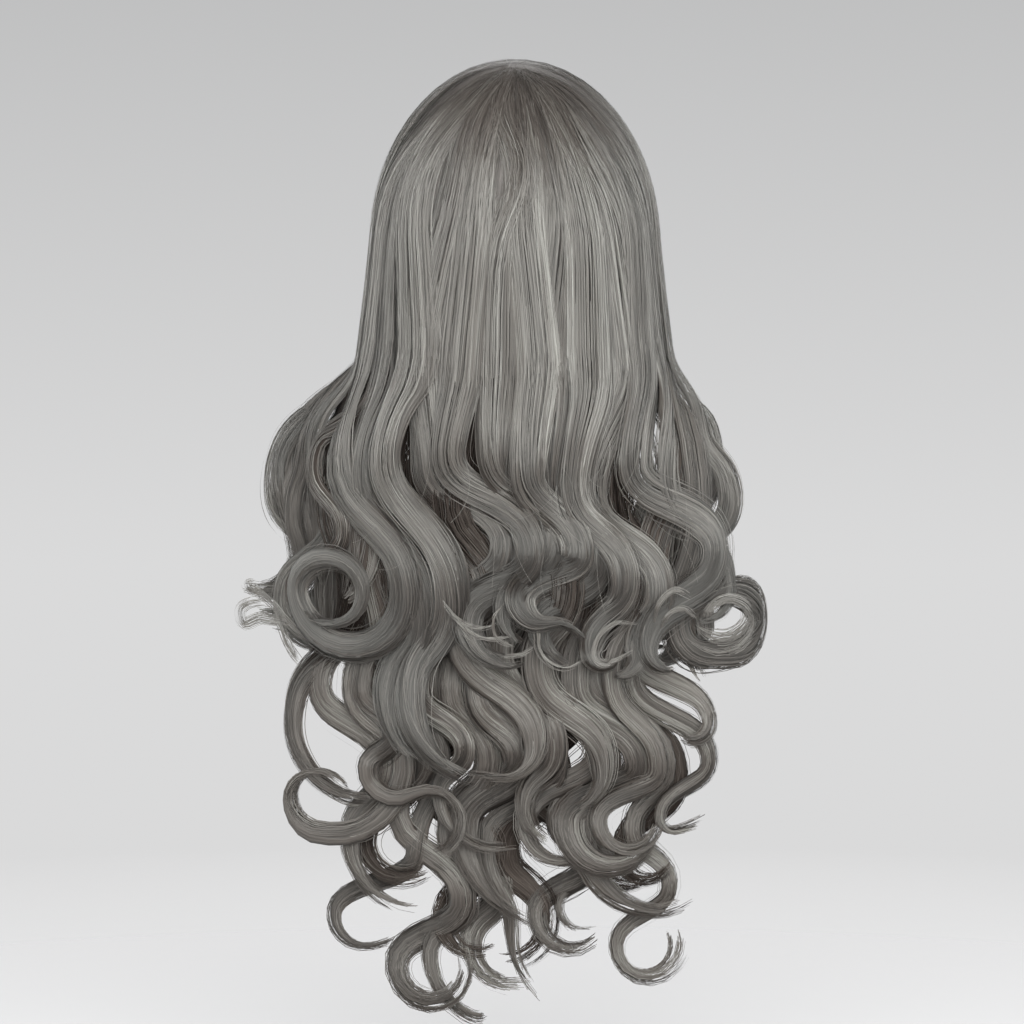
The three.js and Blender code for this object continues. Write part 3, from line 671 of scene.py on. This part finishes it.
def crownStrands(piece, degrees, depth, through, jitter, late, swing):  # from the parting to the hanging edge
    count = len(degrees)
    late = late[:, None]

    def sinkAt(share):  # from the layers at the parting to the lock's own depth
        top = crownLook["sink"] - crownLook["layerDepth"] * through[:, None]
        return lerp(top, depth[:, None], smooth(crownLook["settleFrom"], 1.0, share))

    start = partingStart(degrees, jitter)
    span = np.radians(degrees)
    finish = np.stack([np.sin(span), -np.cos(span), 0 * span], -1)
    angle = np.arccos(np.clip(np.sum(start * finish, -1), -1, 1))[:, None, None]
    t = late + (1 - late) * np.linspace(0, 1, crownLook["stations"])[None, :]
    arc = np.sin((1 - t[..., None]) * angle) * start[:, None] + np.sin(t[..., None] * angle) * finish[:, None]
    arc = unit(arc / np.sin(angle))
    sink = sinkAt(t * crownLook["domeShare"]) + crownLook["emerge"] * np.exp(-t / crownLook["emergeRun"])
    sink = sink + crownLook["lateSink"] * np.exp(-(t - late) / crownLook["emergeRun"]) * (late > 0)
    level = hairDome["widest"] + (hairDome["crown"] - hairDome["widest"]) * arc[..., 2]
    turn = np.radians(sweepTurn(piece, -level))
    arc = np.stack([arc[..., 0] * np.cos(turn) - arc[..., 1] * np.sin(turn),
                    arc[..., 0] * np.sin(turn) + arc[..., 1] * np.cos(turn), arc[..., 2]], -1)
    path, normal = onDome(arc, sink)
    fall = np.linspace(0, 1, crownLook["fallStations"] + 1)[1:]
    overlap = crownLook["overlap"] + crownLook["uneven"] * scatter(jitter[:, None], 7.3)
    level = hairDome["widest"] - (hang["drop"] + overlap + hairDome["widest"]) * fall
    sink = sinkAt((crownLook["domeShare"] + crownLook["fallShare"] * fall)[None, :])
    combed = degrees[:, None] + sweepTurn(piece, -level)
    below = domePoint(hairDome, combed, runToLevel(hairDome, level), sink)
    path = np.concatenate([path, below], axis=1)
    for _ in range(crownLook["easing"]):
        path[:, 1:-1] = (path[:, :-2] + 2 * path[:, 1:-1] + path[:, 2:]) / 4
    outward = np.broadcast_to(normal[:, -1:], below.shape)
    normal = np.concatenate([normal, outward], axis=1)
    going = late + (1 - late) * np.linspace(0, 1, path.shape[1])[None, :]
    sway = swing * np.sin(math.pi * going) ** 2
    sway = sway * np.sin(2 * math.pi * crownLook["swingTurns"] * going + swing)
    size = dice.normal(0, crownLook["sway"], (count, 1)) * np.sin(math.pi * going)
    pace = dice.uniform(*crownLook["swayTurns"], (count, 1)) * going
    sway = sway + size * np.sin(2 * math.pi * (pace + dice.uniform(0, 1, (count, 1))))
    across = unit(np.cross(normal, unit(np.gradient(path, axis=1))))
    return path + across * sway[..., None], normal


sectors = rootSectors()
crownBundle = Bundle()
coreForm = {
    "wide": 0.84, "thick": 0.72, "sides": 8, "strips": 16, "least": 0.03, "tone": 0.4, "fibres": 0.0045,
    "start": (90, 135), "innerStart": (-30, 20), "underStart": (0.8, 0.97), "end": (0.74, 0.95),
}


def addCore(piece, line, bundle, reach, skin):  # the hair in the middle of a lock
    start = [firstDrop(piece) * part for part in coreForm["underStart"]]
    if piece["name"] in sectors or piece["sunk"]:
        start = [hang["drop"] + part for part in coreForm["innerStart" if piece["sunk"] else "start"]]
    blunt = np.clip((line["share"] - coreForm["end"][0]) / (coreForm["end"][1] - coreForm["end"][0]), 0, 1)
    scale = smooth(*start, -line["centre"][:, 2]) * np.sqrt(1 - blunt ** 2)
    rows = scale > coreForm["least"]
    around = np.linspace(-0.5 * math.pi, 1.5 * math.pi, coreForm["sides"] + 1)[None, :, None]
    wide = (line["half"] * coreForm["wide"] * scale)[:, None, None]
    deep = (line["thick"] * coreForm["thick"] * scale)[:, None, None]
    grid = line["centre"][:, None] + line["side"][:, None] * np.cos(around) * wide
    grid = grid + line["out"][:, None] * np.sin(around) * deep
    seed = dice.uniform(0, 1)
    seeds = (seed, seed + piece["width"] * coreForm["fibres"])
    # painted shade: a core's tone is set a little darker than the strands', for the hair deep in the lock,
    # and the lock's painted light and shade is added to it
    tone = coreForm["tone"] + line["shade"][:, None]
    # painted shade at the sides of the core, where the neighbouring locks shade it
    tone = tone - strandLook["edgePaintedShade"] * np.cos(around[..., 0]) ** 4
    bundle.addSheet(grid[rows], reach[rows], coreForm["strips"], skin, tone[rows], seeds)


def growLock(piece, bundle):  # one lock, and over the crown the hair that leads to it
    line = lockLine(piece)
    stations = len(line["run"])
    outer = piece["name"] in sectors
    kind = "outer" if outer else "inner" if piece["sunk"] else "under"
    count = round(strandLook[kind] * piece["width"] / strandLook["perWidth"])
    radius, angle = np.sqrt(dice.uniform(strandLook["shell"], 1, count)), dice.uniform(0, 2 * math.pi, count)
    isLoose = dice.uniform(0, 1, count) < strandLook["loose"]
    loose = 1 + isLoose * dice.uniform(0, strandLook["looseSpread"], count)
    u0, v0 = radius * np.cos(angle), radius * np.sin(angle)
    clumps = clumpPlaces(max(3, round(piece["width"] / strandLook["clump"])))
    nearest = np.argmin((u0[:, None] - clumps[:, 0]) ** 2 + (v0[:, None] - clumps[:, 1]) ** 2, axis=1)
    short = strandLook["clumpShort"] * dice.uniform(0, 1, len(clumps))[nearest]
    short = short + strandLook["strandShort"] * dice.beta(*strandLook["shortForm"], count)
    at = (1 - strandLook["ragged"] * short)[:, None] * np.arange(stations)[None, :]

    def pick(values):
        return between(values, at)

    def perClump(spread):  # strands of one clump share a draw
        return dice.normal(0, spread, len(clumps))[nearest]

    def clumpDrift():
        rows = np.linspace(0, 1, stations)[None, :]
        paces = strandLook["clumpSlow"], strandLook["clumpFast"]
        return wander(len(clumps), rows, *paces, strandLook["clumpWander"])[nearest]

    share = pick(line["share"])
    pull = strandLook["gather"] * smooth(strandLook["gatherFrom"], 1, share)
    u = lerp(u0[:, None], clumps[nearest, 0][:, None], pull)
    v = lerp(v0[:, None], clumps[nearest, 1][:, None], pull)
    spin = dice.normal(0, strandLook["spin"]) * share
    spin = spin + strandLook["twist"] * np.sin(2 * math.pi * (strandLook["twists"] * share + dice.uniform()))
    u, v = u * np.cos(spin) - v * np.sin(spin), u * np.sin(spin) + v * np.cos(spin)
    u, v = u * loose[:, None], v * loose[:, None]
    stray = np.where(dice.uniform(0, 1, count) < strandLook["stray"], strandLook["strayReach"], 1)[:, None]
    size = strandLook["wander"] * stray
    drift = [clumpDrift(), clumpDrift()]
    sideways = drift[0] + wander(count, share, strandLook["slow"], strandLook["fast"], size)
    outward = 0.6 * drift[1] + 0.7 * wander(count, share, strandLook["slow"], strandLook["fast"], size)
    half, thick = pick(line["half"]), pick(line["thick"])
    out, side = unit(pick(line["out"])), unit(pick(line["side"]))
    slanted = np.arange(stations) + dice.normal(0, strandLook["slant"]) * u0[:, None]
    faceOut = unit(between(line["out"], np.clip(slanted, 0, stations - 1.001)))
    rooted = smooth(0, strandLook["rooted"], pick(line["run"]))
    sideways, outward = u * half + sideways * rooted, v * thick + outward * rooted
    path = pick(line["centre"]) + side * sideways[..., None] + out * outward[..., None]
    tighter = perClump(strandLook["clumpCurl"]) + dice.normal(0, strandLook["strandCurl"], count)
    wound = 1 + np.clip(tighter, *strandLook["curlRange"])[:, None] * smooth(0, 0.35, pick(line["curl"]))
    path = line["tailAt"] + (path - line["tailAt"]) * wound[..., None]
    lean = np.arctan2(u / half, np.abs(v) / thick + 0.02)
    roll = dice.normal(0, strandLook["roll"], count) + perClump(strandLook["clumpRoll"])
    tone = dice.normal(strandLook["tone"], strandLook["toneSpread"], count)
    tone = tone + perClump(strandLook["clumpTone"])
    tone = np.clip(tone + dice.normal(0, strandLook["lockTone"]), 0, 1)
    # painted shade on the strands at a lock's sides, where the neighbouring locks shade them
    tone = np.clip(tone - strandLook["edgePaintedShade"] * u0 ** 4, 0, 1)
    pitch = dice.normal(0, strandLook["pitch"], count) + perClump(strandLook["clumpPitch"])
    pitch = pitch[:, None, None]
    seed = dice.uniform(0, 1, count)
    width = strandLook["width"] * dice.uniform(*strandLook["widthRange"], count)[:, None]
    width = width * np.where(stray > 1, strandLook["strayWidth"], 1)
    lockShare = strandLook["crownShare"] if outer else 0.0
    if outer:
        lowTurn, highTurn = sectors[piece["name"]]
        degrees = piece["root"] + np.where(u0 < 0, -lowTurn, highTurn) * u0
        valley = crownLook["valley"] * u0 ** 2
        depth = hang["firstLayer"] + crownLook["layerSink"] * piece["layer"] - v0 * line["thick"][0] + valley
        isLate = dice.uniform(0, 1, count) < crownLook["lateShare"]
        late = np.where(isLate, dice.uniform(*crownLook["late"], count), 0)
        jitter = dice.normal(0, crownLook["jitter"], count)
        swing = dice.normal(0, crownLook["swing"])
        crownPath, normal = crownStrands(piece, degrees, depth, v0, jitter, late, swing)
        path[:, 0, 2] += crownLook["weave"] * scatter(v0, 5.7)  # they start at different heights
        combed = degrees[:, None] + sweepTurn(piece, -path[..., 2])
        hanging = domePoint(hairDome, combed, runToLevel(hairDome, path[..., 2]), depth[:, None])
        atBack = strandLook["backRoots"][0] < piece["root"] < strandLook["backRoots"][1]
        leave = smooth(0, strandLook["blendRun" if atBack else "sideRun"], pick(line["run"]))[..., None]
        path = lerp(hanging, path, leave)
        lean = lerp(crownLook["lean"] * u0[:, None], lean, leave[..., 0])
        turned = np.radians(combed)
        span = np.where(np.cos(turned) > 0, hairDome["back"], hairDome["front"])
        domeOut = np.stack([np.sin(turned) / hairDome["breadth"], -np.cos(turned) / span, 0 * turned], -1)
        domeOut = unit(domeOut)
        out, faceOut = unit(lerp(domeOut, out, leave)), unit(lerp(domeOut, faceOut, leave))
        side = unit(np.cross(out, unit(np.gradient(path, axis=1))))
        along = unit(np.gradient(crownPath, axis=1))
        across = unit(np.cross(normal, along))
        flat, face = leanOver(across, normal, normal, (roll + crownLook["lean"] * u0)[:, None])
        late = late[:, None]
        reach = lockShare * np.linspace(0, 1, crownPath.shape[1])[None, :]
        reach = lockShare * late + reach * (1 - late)
        thin = 0.45 + 0.55 * smooth(0, 0.3, reach / lockShare - late * 0.8)
        crownBundle.addStrands(crownPath, flat, unit(face + along * pitch), width * thin, tone, reach, seed)
    ending = smooth(strandLook["tipFrom"], 1, np.linspace(0, 1, stations))
    tip = lerp(1, strandLook["tipWidth"] / strandLook["width"], ending)[None, :]
    flat, face = leanOver(side, out, faceOut, lean + roll[:, None])
    face = unit(face + unit(np.gradient(path, axis=1)) * pitch)
    skin = 1 if kind == "inner" and not piece["name"].startswith("low_inner") else 0  # the second material
    # the lock's painted light and shade is added to the strands' own tone
    tone = tone[:, None] + pick(line["shade"])
    # painted shade: where an under lock passes behind the outer hair its strands are darkened and take the
    # shaded copy of the hair material
    if kind == "under":
        level = -path[..., 2] - piece["bends"][0][1] + strandLook["hiddenAbove"]
        level = level + dice.normal(0, strandLook["hiddenUneven"], (count, 1))
        behind = smooth(strandLook["hiddenEase"], -strandLook["hiddenEase"], level)
        tone = tone - strandLook["hiddenPaintedShade"] * behind
        skin = np.where(behind[:, 1:] > 0.5, 1, 0)
    bundle.addStrands(path, flat, face, width * tip, tone, lockShare + (1 - lockShare) * share, seed, skin)
    coreSkin = 1 if piece["sunk"] and piece["forward"] else 0
    addCore(piece, line, bundle, lockShare + (1 - lockShare) * line["share"], coreSkin)


triangles = 0
for piece in upperLocks + frontLocks + middleLocks + lowerLocks:
    bundle = Bundle()
    growLock(piece, bundle)
    # the under locks at the back take the shaded copy
    look = lowerShadedLook if piece["layer"] > 1 and piece["forward"] is None else hairLook
    triangles += bundle.build(piece["name"] + "_hair", [look, innerShadedLook], [piece["name"]])
print("locks grown:", triangles, "triangles")

# The hair behind and inside the outer curls.
innerLocks = [
    lock("left_inner_1", -92, 0, 16, [(-150, 262), (-156, 300), (-150, 340)], [(60, 30)], 14),
    lock("left_inner_2", -94, 1, 24, [(-136, 255), (-150, 305), (-126, 388)], [(40, 50)], 25),
    lock("left_inner_3", -86, 2, 24, [(-118, 255), (-126, 305), (-112, 388)], [(40, 50)], 20),
    lock("left_inner_4", -60, 3, 24, [(-95, 262), (-100, 320), (-88, 385)], [(40, 60)]),
    lock("left_inner_5", -54, 4, 26, [(-92, 265), (-75, 325), (-105, 390)], [(40, 50)]),
    lock("left_inner_6", -58, 2, 24, [(-100, 258), (-104, 328)], [(40, -50)]),
    lock("left_inner_8", -95, 0, 24, [(-126, 242), (-145, 285), (-140, 330)], [(40, 40)], 18),
    lock("left_inner_7", -99, 1, 26, [(-168, 276), (-158, 335)], [(26, -70)], 32),
    lock("left_inner_9", -90, 1, 28, [(-122, 250), (-132, 310), (-136, 392)], [(30, 40)], 14),
    lock("right_inner_1", 60, 3, 22, [(112, 260), (95, 330), (120, 390)], [(30, 50)]),
    lock("right_inner_2", 84, 2, 20, [(128, 260), (112, 330), (130, 385)], [(25, -60)], 2),
    lock("low_inner_1", 10, 6, 20, [(-5, 420), (28, 475), (-8, 525), (20, 575)], [(24, -120)]),
    lock("low_inner_2", 30, 6, 20, [(45, 420), (15, 480), (55, 530)], [(22, 130)]),
    lock("low_inner_3", 48, 6, 18, [(75, 415), (110, 480), (72, 530)], [(18, 170)]),
    lock("low_inner_4", -50, 6, 20, [(-100, 420), (-72, 475), (-104, 520)], [(26, 150)]),
    lock("low_inner_5", -18, 6, 20, [(-28, 425), (-62, 475), (-20, 530), (-48, 575)], [(22, 140)]),
    lock("left_inner_10", -58, 1, 14, [(-98, 206), (-138, 266), (-117, 308), (-156, 352)], [(26, 60)]),
]
innerBundle = Bundle()
for piece in innerLocks:
    piece["sunk"] = 22.0  # their roots stay under the outer hair
    growLock(piece, innerBundle)
print("inner hair:", innerBundle.build("inner_hair", [innerShadedLook, lowerShadedLook], []), "triangles")

# Wisps that have come loose: stops as place and drop.
wispLook = {
    "stations": 15, "courseSteps": 60, "fewest": 14, "perMm": 4.5, "strand": 0.36, "strandRange": (0.7, 1.2),
    "fade": 0.45, "lastFrom": 0.75, "sunk": 2.6, "ending": 0.25, "thick": 3.2, "fullWidth": 8, "lean": 0.16,
    "sway": 0.8, "slow": (0.5, 1.2), "fast": (2, 4), "flare": 0.8, "flareFrom": 158,
    "tone": 0.54, "toneSpread": 0.1,
}
wisps = [
    ([(-52, 348), (-43, 360), (-35, 367), (-24, 371), (-10, 367)], 3.2, 4.0),
    ([(-46, 358), (-37, 368), (-28, 375), (-16, 378), (0, 376)], 3.4, 5.0),
    ([(-44, 362), (-35, 373), (-27, 382), (-14, 389), (4, 389), (14, 383)], 3.6, 5.0),
    ([(2, 354), (11, 362), (15, 372), (16, 385), (23, 394), (35, 398), (48, 392)], 3.6, 6.0),
    ([(-6, 352), (-14, 364), (-12, 377), (0, 384)], 3.0, 5.0),
    ([(94, 372), (97, 356), (108, 346), (121, 352)], 4.0, 5.0),
    ([(97, 378), (103, 364), (114, 360), (124, 368)], 3.5, 5.0),
    ([(84, 370), (68, 368), (56, 378), (54, 392), (66, 394), (82, 386)], 4.0, 5.0),
    ([(-140, 384), (-155, 372), (-165, 363), (-176, 357), (-184, 354), (-185, 350), (-179, 350)], 8, 3.0),
    ([(-148, 376), (-160, 373), (-176, 374), (-188, 379), (-191, 370), (-184, 364), (-170, 361)], 8, 5.0),
    ([(-166, 362), (-163, 372), (-156, 389), (-144, 404)], 7, 2.0),
    ([(116, 380), (135, 391), (153, 388), (163, 376), (158, 362), (145, 356), (133, 362), (131, 372)],
     9, 2.0),
    ([(122, 372), (134, 381), (148, 382), (160, 373), (160, 360)], 11, 1.0),
]


def smoothCourse(stops, count):  # an even curve through a few stops
    stops = np.array(stops, float)
    slope = np.gradient(stops, axis=0)
    at = np.linspace(0, len(stops) - 1, count)
    low = np.minimum(at.astype(int), len(stops) - 2)
    t = (at - low)[:, None]
    return ((1 + 2 * t) * (1 - t) ** 2 * stops[low] + t * (1 - t) ** 2 * slope[low]
            + t * t * (3 - 2 * t) * stops[low + 1] + t * t * (t - 1) * slope[low + 1])


def addWisp(bundle, stops, width, lift):
    course = smoothCourse(stops, wispLook["courseSteps"])
    count = max(wispLook["fewest"], round(width * wispLook["perMm"]))
    u = np.clip(dice.normal(0, 0.5, count), -1.4, 1.4)[:, None]
    v = dice.uniform(0, 1, count)[:, None]
    first = dice.uniform(0, wispLook["fade"], count)[:, None]
    last = dice.uniform(wispLook["lastFrom"], 1, count)[:, None]
    share = lerp(first, last, np.linspace(0, 1, wispLook["stations"])[None, :])
    spot = share * (len(course) - 1)
    place = between(course, spot)
    way = unit(between(unit(np.gradient(course, axis=0)), spot))
    rise = np.minimum(smooth(0, 0.3, share), 1 - wispLook["ending"] * smooth(0.7, 1, share))
    sway = wander(count, share, wispLook["slow"], wispLook["fast"], wispLook["sway"])
    aside = u * width / 2 * (0.35 + 0.65 * rise) + sway
    thick = (v + 0.8 * u * u) * wispLook["thick"] * min(1, width / wispLook["fullWidth"])
    depth = lerp(wispLook["sunk"], -lift, rise) + thick
    path, out = surfacePlace(place[..., 0] + way[..., 1] * aside, place[..., 1] - way[..., 0] * aside, depth)
    path[..., 1] += wispLook["flare"] * np.maximum(np.abs(path[..., 0]) - wispLook["flareFrom"], 0)
    along = unit(np.gradient(path, axis=1))
    side = unit(np.cross(out, along))
    out = np.cross(along, side)
    lean = u * wispLook["lean"] * rise + dice.normal(0, strandLook["roll"], (count, 1))
    flat, face = leanOver(side, out, out, lean)
    tone = np.clip(dice.normal(wispLook["tone"], wispLook["toneSpread"], count), 0, 1)
    thin = np.minimum(smooth(-0.1, 0.15, share), 1 - 0.6 * smooth(0.85, 1, share))
    wide = wispLook["strand"] * dice.uniform(*wispLook["strandRange"], count)[:, None] * thin
    bundle.addStrands(path, flat, face, wide, tone, 0.15 + 0.4 * share, dice.uniform(0, 1, count))


wispBundle = Bundle()
for stops, width, lift in wisps:
    addWisp(wispBundle, stops, width, lift)
frizzLook = {
    "count": 80, "stations": 13, "width": 0.15, "widthRange": (0.6, 1.2), "drops": (60, 330),
    "length": (20, 55), "breadth": 78, "widen": 40, "widenFrom": (180, 280),
    "heading": 0.5, "bend": 1.6, "calm": 0.25, "calmTo": (170, 300),
    "sunk": 4.0, "lift": (0.2, 5.0), "tone": 0.6, "toneSpread": 0.12,
}


def addFrizz(bundle):  # single hairs that cross the others
    count = frizzLook["count"]
    start = dice.uniform(*frizzLook["drops"], count)[:, None]
    breadth = frizzLook["breadth"] + frizzLook["widen"] * smooth(*frizzLook["widenFrom"], start)
    place = dice.uniform(-1, 1, count)[:, None] * breadth
    share = np.linspace(0, 1, frizzLook["stations"])[None, :]
    length = dice.uniform(*frizzLook["length"], count)[:, None]
    wild = frizzLook["calm"] + 0.75 * smooth(*frizzLook["calmTo"], start)  # the smooth back has less of it
    heading = dice.normal(0, frizzLook["heading"], (count, 1)) * wild
    heading = heading + dice.normal(0, frizzLook["bend"], (count, 1)) * wild * (share - 0.3)
    across = place + np.cumsum(np.sin(heading), axis=1) * length / frizzLook["stations"]
    drop = start + np.cumsum(np.cos(heading), axis=1) * length / frizzLook["stations"]
    rise = np.sin(math.pi * np.clip(share, 0.02, 0.98)) ** 0.6
    depth = lerp(frizzLook["sunk"], -dice.uniform(*frizzLook["lift"], (count, 1)) * wild, rise)
    path, out = surfacePlace(across, drop, depth)
    side = unit(np.cross(out, unit(np.gradient(path, axis=1))))
    width = frizzLook["width"] * dice.uniform(*frizzLook["widthRange"], (count, 1)) * np.ones_like(share)
    tone = np.clip(dice.normal(frizzLook["tone"], frizzLook["toneSpread"], count), 0, 1)
    reach = 0.3 + 0.4 * np.broadcast_to(share, across.shape)
    bundle.addStrands(path, side, out, width, tone, reach, dice.uniform(0, 1, count))


addFrizz(wispBundle)
print("loose wisps:", wispBundle.build("loose_wisps", [hairLook], []), "triangles")

# The crown hair: a packed under-layer with the strands of the outer locks combed over it.
underLook = {
    "rows": 44, "columns": 121, "strips": 400, "reach": 0.25,
    "sink": 3.0, "edgeSink": 15.0, "edgeFrom": (110, 200),
    "skirt": 26.0, "skirtAt": (82, 60),  # it runs on behind the back locks
}


def crownUnder():
    degrees = np.linspace(-180, 180, underLook["columns"])[None, :]
    share = np.linspace(0, 1, underLook["rows"])[:, None]
    ragged = 1 + 0.5 * np.sin(0.9 * degrees) + 0.3 * np.sin(2.3 * degrees + 1)
    skirt = underLook["skirt"] * ragged * smooth(*underLook["skirtAt"], np.abs(degrees))
    run = share * runToLevel(hairDome, edgeLevel(crownEdge, degrees) - skirt)
    sink = lerp(underLook["sink"], underLook["edgeSink"], smooth(*underLook["edgeFrom"], run))
    grid = domePoint(hairDome, degrees, run, sink)
    reach = np.linspace(0, underLook["reach"], underLook["rows"])
    crownBundle.addSheet(grid[:, ::-1], reach, underLook["strips"], 1)


crownUnder()
crownCount = crownBundle.build("crown_strands", [hairLook, coreLook], ["crown_hair"])
print("crown combed:", crownCount, "triangles")

# The cap: a stretch net with rows of weft and a bound edge.
capLook = {
    "wall": 2.0, "rows": 90, "columns": 121, "edgeRadius": 1.5, "edgeSides": 8,
    "insideStrips": 60, "outsideStrips": 30, "edgeStrips": 10,
    "rowSkip": 4, "columnSkip": 3,  # the outside is coarser
    "weftPitch": 11.0, "weftHeight": 0.55, "weftWidth": 0.13, "weftFrom": (8, 24),
    "net": colour(0.03, 0.028, 0.027), "thread": colour(0.075, 0.07, 0.066), "rough": 0.85,
    "cellScale": 620.0, "cellEdge": 9, "weaveScale": 900.0, "weaveShare": 0.2,
    "relief": 0.4, "reliefHeight": 0.0005,
}


def capMaterial():
    shader = newMaterial("stretch net")
    place = shader.add("ShaderNodeTexCoord", {}, {}, 3)
    fine = shader.add("ShaderNodeTexVoronoi", {"feature": "DISTANCE_TO_EDGE"}, {
        "Vector": place, "Scale": capLook["cellScale"]})
    cell = shader.clip(fine * capLook["cellEdge"])
    weave = shader.add("ShaderNodeTexNoise", {}, {
        "Vector": place, "Scale": capLook["weaveScale"], "Detail": 2.0})
    mixed = cell * (1 - capLook["weaveShare"]) + weave * capLook["weaveShare"]
    base = shader.blend(mixed, capLook["thread"], capLook["net"])
    bump = shader.add("ShaderNodeBump", {}, {
        "Strength": capLook["relief"], "Distance": capLook["reliefHeight"], "Height": 1 - cell})
    return shader.done(shader.add("ShaderNodeBsdfPrincipled", {}, {
        "Base Color": base, "Roughness": capLook["rough"], "Normal": bump}))


def buildCap():
    bundle = Bundle()
    degrees = np.linspace(-180, 180, capLook["columns"])[None, :]
    run = runToLevel(headDome, edgeLevel(capEdge, degrees))
    share = np.linspace(0, 1, capLook["rows"])[:, None]
    phase = (share * run) / capLook["weftPitch"]
    ridge = np.exp(-((phase - np.round(phase)) / capLook["weftWidth"]) ** 2)
    ridge = ridge * smooth(*capLook["weftFrom"], share * run)
    inside = domePoint(headDome, degrees, share * run, ridge * capLook["weftHeight"])
    bundle.addSheet(inside, share[:, 0], capLook["insideStrips"], 0)
    coarse = share[::capLook["rowSkip"]]
    outside = domePoint(headDome, degrees, coarse * run, -capLook["wall"])
    bundle.addSheet(outside[:, ::-capLook["columnSkip"]], coarse[:, 0], capLook["outsideStrips"], 0)
    rim = domePoint(headDome, degrees[0], run[0], -capLook["wall"] / 2)
    along = unit(np.gradient(rim, axis=0))
    out = unit(rim * np.array([1, 1, 0]))
    up = np.cross(along, out)
    around = np.linspace(0, 2 * math.pi, capLook["edgeSides"] + 1)[None, :, None]
    ring = out[:, None] * np.cos(around) + up[:, None] * np.sin(around)
    tube = rim[:, None] + capLook["edgeRadius"] * ring
    bundle.addSheet(tube, np.linspace(0, 1, len(rim)), capLook["edgeStrips"], 0)
    return bundle.build("net_cap", [capMaterial()], ["cap"])


print("cap sewn:", buildCap(), "triangles")

# Pale studio: floor that fades into the background, soft light from above the camera.
studio = {
    "floor": -0.72, "floorSize": 1.6, "floorColour": colour(0.5, 0.5, 0.503),
    "fadeRun": 0.75, "fadeFrom": 0.25, "fadePower": 0.8,
    "low": colour(0.7, 0.7, 0.702), "high": colour(0.505, 0.507, 0.51), "top": colour(0.12, 0.12, 0.125),
    "levels": (0.462, 0.512, 0.54, 0.62),  # where the background changes, from the lowest to the highest
    "target": (0, 0, -0.15), "lens": 218.5, "sensor": 36.0,
    "away": 4.2, "rise": 4.0, "aim": (-0.002, -0.11, -0.2935),
}
lamps = [  # name, place, target, power and size
    ("key", (0.1, -2.4, 0.45), studio["target"], 142.0, (2.2, 2.3)),
    ("left", (-2.2, 0.3, 0.4), studio["target"], 60.0, (1.2, 2.2)),
    ("right", (2.2, 0.3, 0.4), studio["target"], 60.0, (1.2, 2.2)),
    ("face", (0.1, 2.5, 0.4), studio["target"], 70.0, (2.0, 2.2)),
    ("wash", (0, 1.2, -0.1), (0, 1.2001, studio["floor"]), 2.5, (2.6, 1.4)),  # on the floor behind
]


def paintBackground():
    shader = Shader(bpy.data.worlds.new("pale studio"))
    spot = shader.add("ShaderNodeTexCoord", {}, {})
    height = shader.add("ShaderNodeSeparateXYZ", {}, {0: spot}, 2)
    level = shader.add("ShaderNodeMapRange", {}, {"Value": height, "From Min": -1.0})
    tints = studio["low"], studio["high"], studio["high"], studio["top"]
    ramp = shader.add("ShaderNodeValToRGB", {"stops": list(zip(studio["levels"], tints))}, {0: level})
    back = shader.add("ShaderNodeBackground", {}, {"Color": ramp})
    bpy.context.scene.world = shader.done(back, "ShaderNodeOutputWorld")


def layFloor():
    mesh = bpy.data.meshes.new("floor")
    size = studio["floorSize"]
    corners = [(-size, -size, 0), (size, -size, 0), (size, size, 0), (-size, size, 0)]
    mesh.from_pydata(corners, [], [(0, 1, 2, 3)])
    floor = addObject("floor", mesh)
    floor.location.z = studio["floor"]
    shader = newMaterial("pale floor")
    spot = shader.add("ShaderNodeTexCoord", {}, {}, 3)
    away = shader.add("ShaderNodeVectorMath", {"operation": "LENGTH"}, {0: spot}, 1)
    fade = shader.clip(away / (size * studio["fadeRun"]) - studio["fadeFrom"]) ** studio["fadePower"]
    paint = shader.add("ShaderNodeBsdfDiffuse", {}, {"Color": studio["floorColour"]})
    clear = shader.add("ShaderNodeBsdfTransparent", {}, {})
    mesh.materials.append(shader.done(shader.add("ShaderNodeMixShader", {}, {0: fade, 1: paint, 2: clear})))


def hangLamps():
    for name, spot, target, power, size in lamps:
        lamp = bpy.data.lights.new(name, "AREA")
        lamp.energy, lamp.shape = power, "RECTANGLE"
        lamp.size, lamp.size_y = size
        holder = addObject(name, lamp)
        holder.location = spot
        holder.visible_camera = False
        holder.rotation_euler = (Vector(target) - Vector(spot)).to_track_quat("-Z", "Y").to_euler()


def setCamera():
    camera = bpy.data.cameras.new("camera")
    camera.lens, camera.sensor_width = studio["lens"], studio["sensor"]
    stand = addObject("camera", camera)
    rise = math.radians(studio["rise"])
    stand.location = Vector(studio["aim"]) + studio["away"] * Vector((0, -math.cos(rise), math.sin(rise)))
    stand.rotation_euler = (math.pi / 2 - rise, 0, 0)
    bpy.context.scene.camera = stand
    bpy.context.scene.view_settings.view_transform = "Standard"


paintBackground()
layFloor()
hangLamps()
setCamera()
print("studio lit")
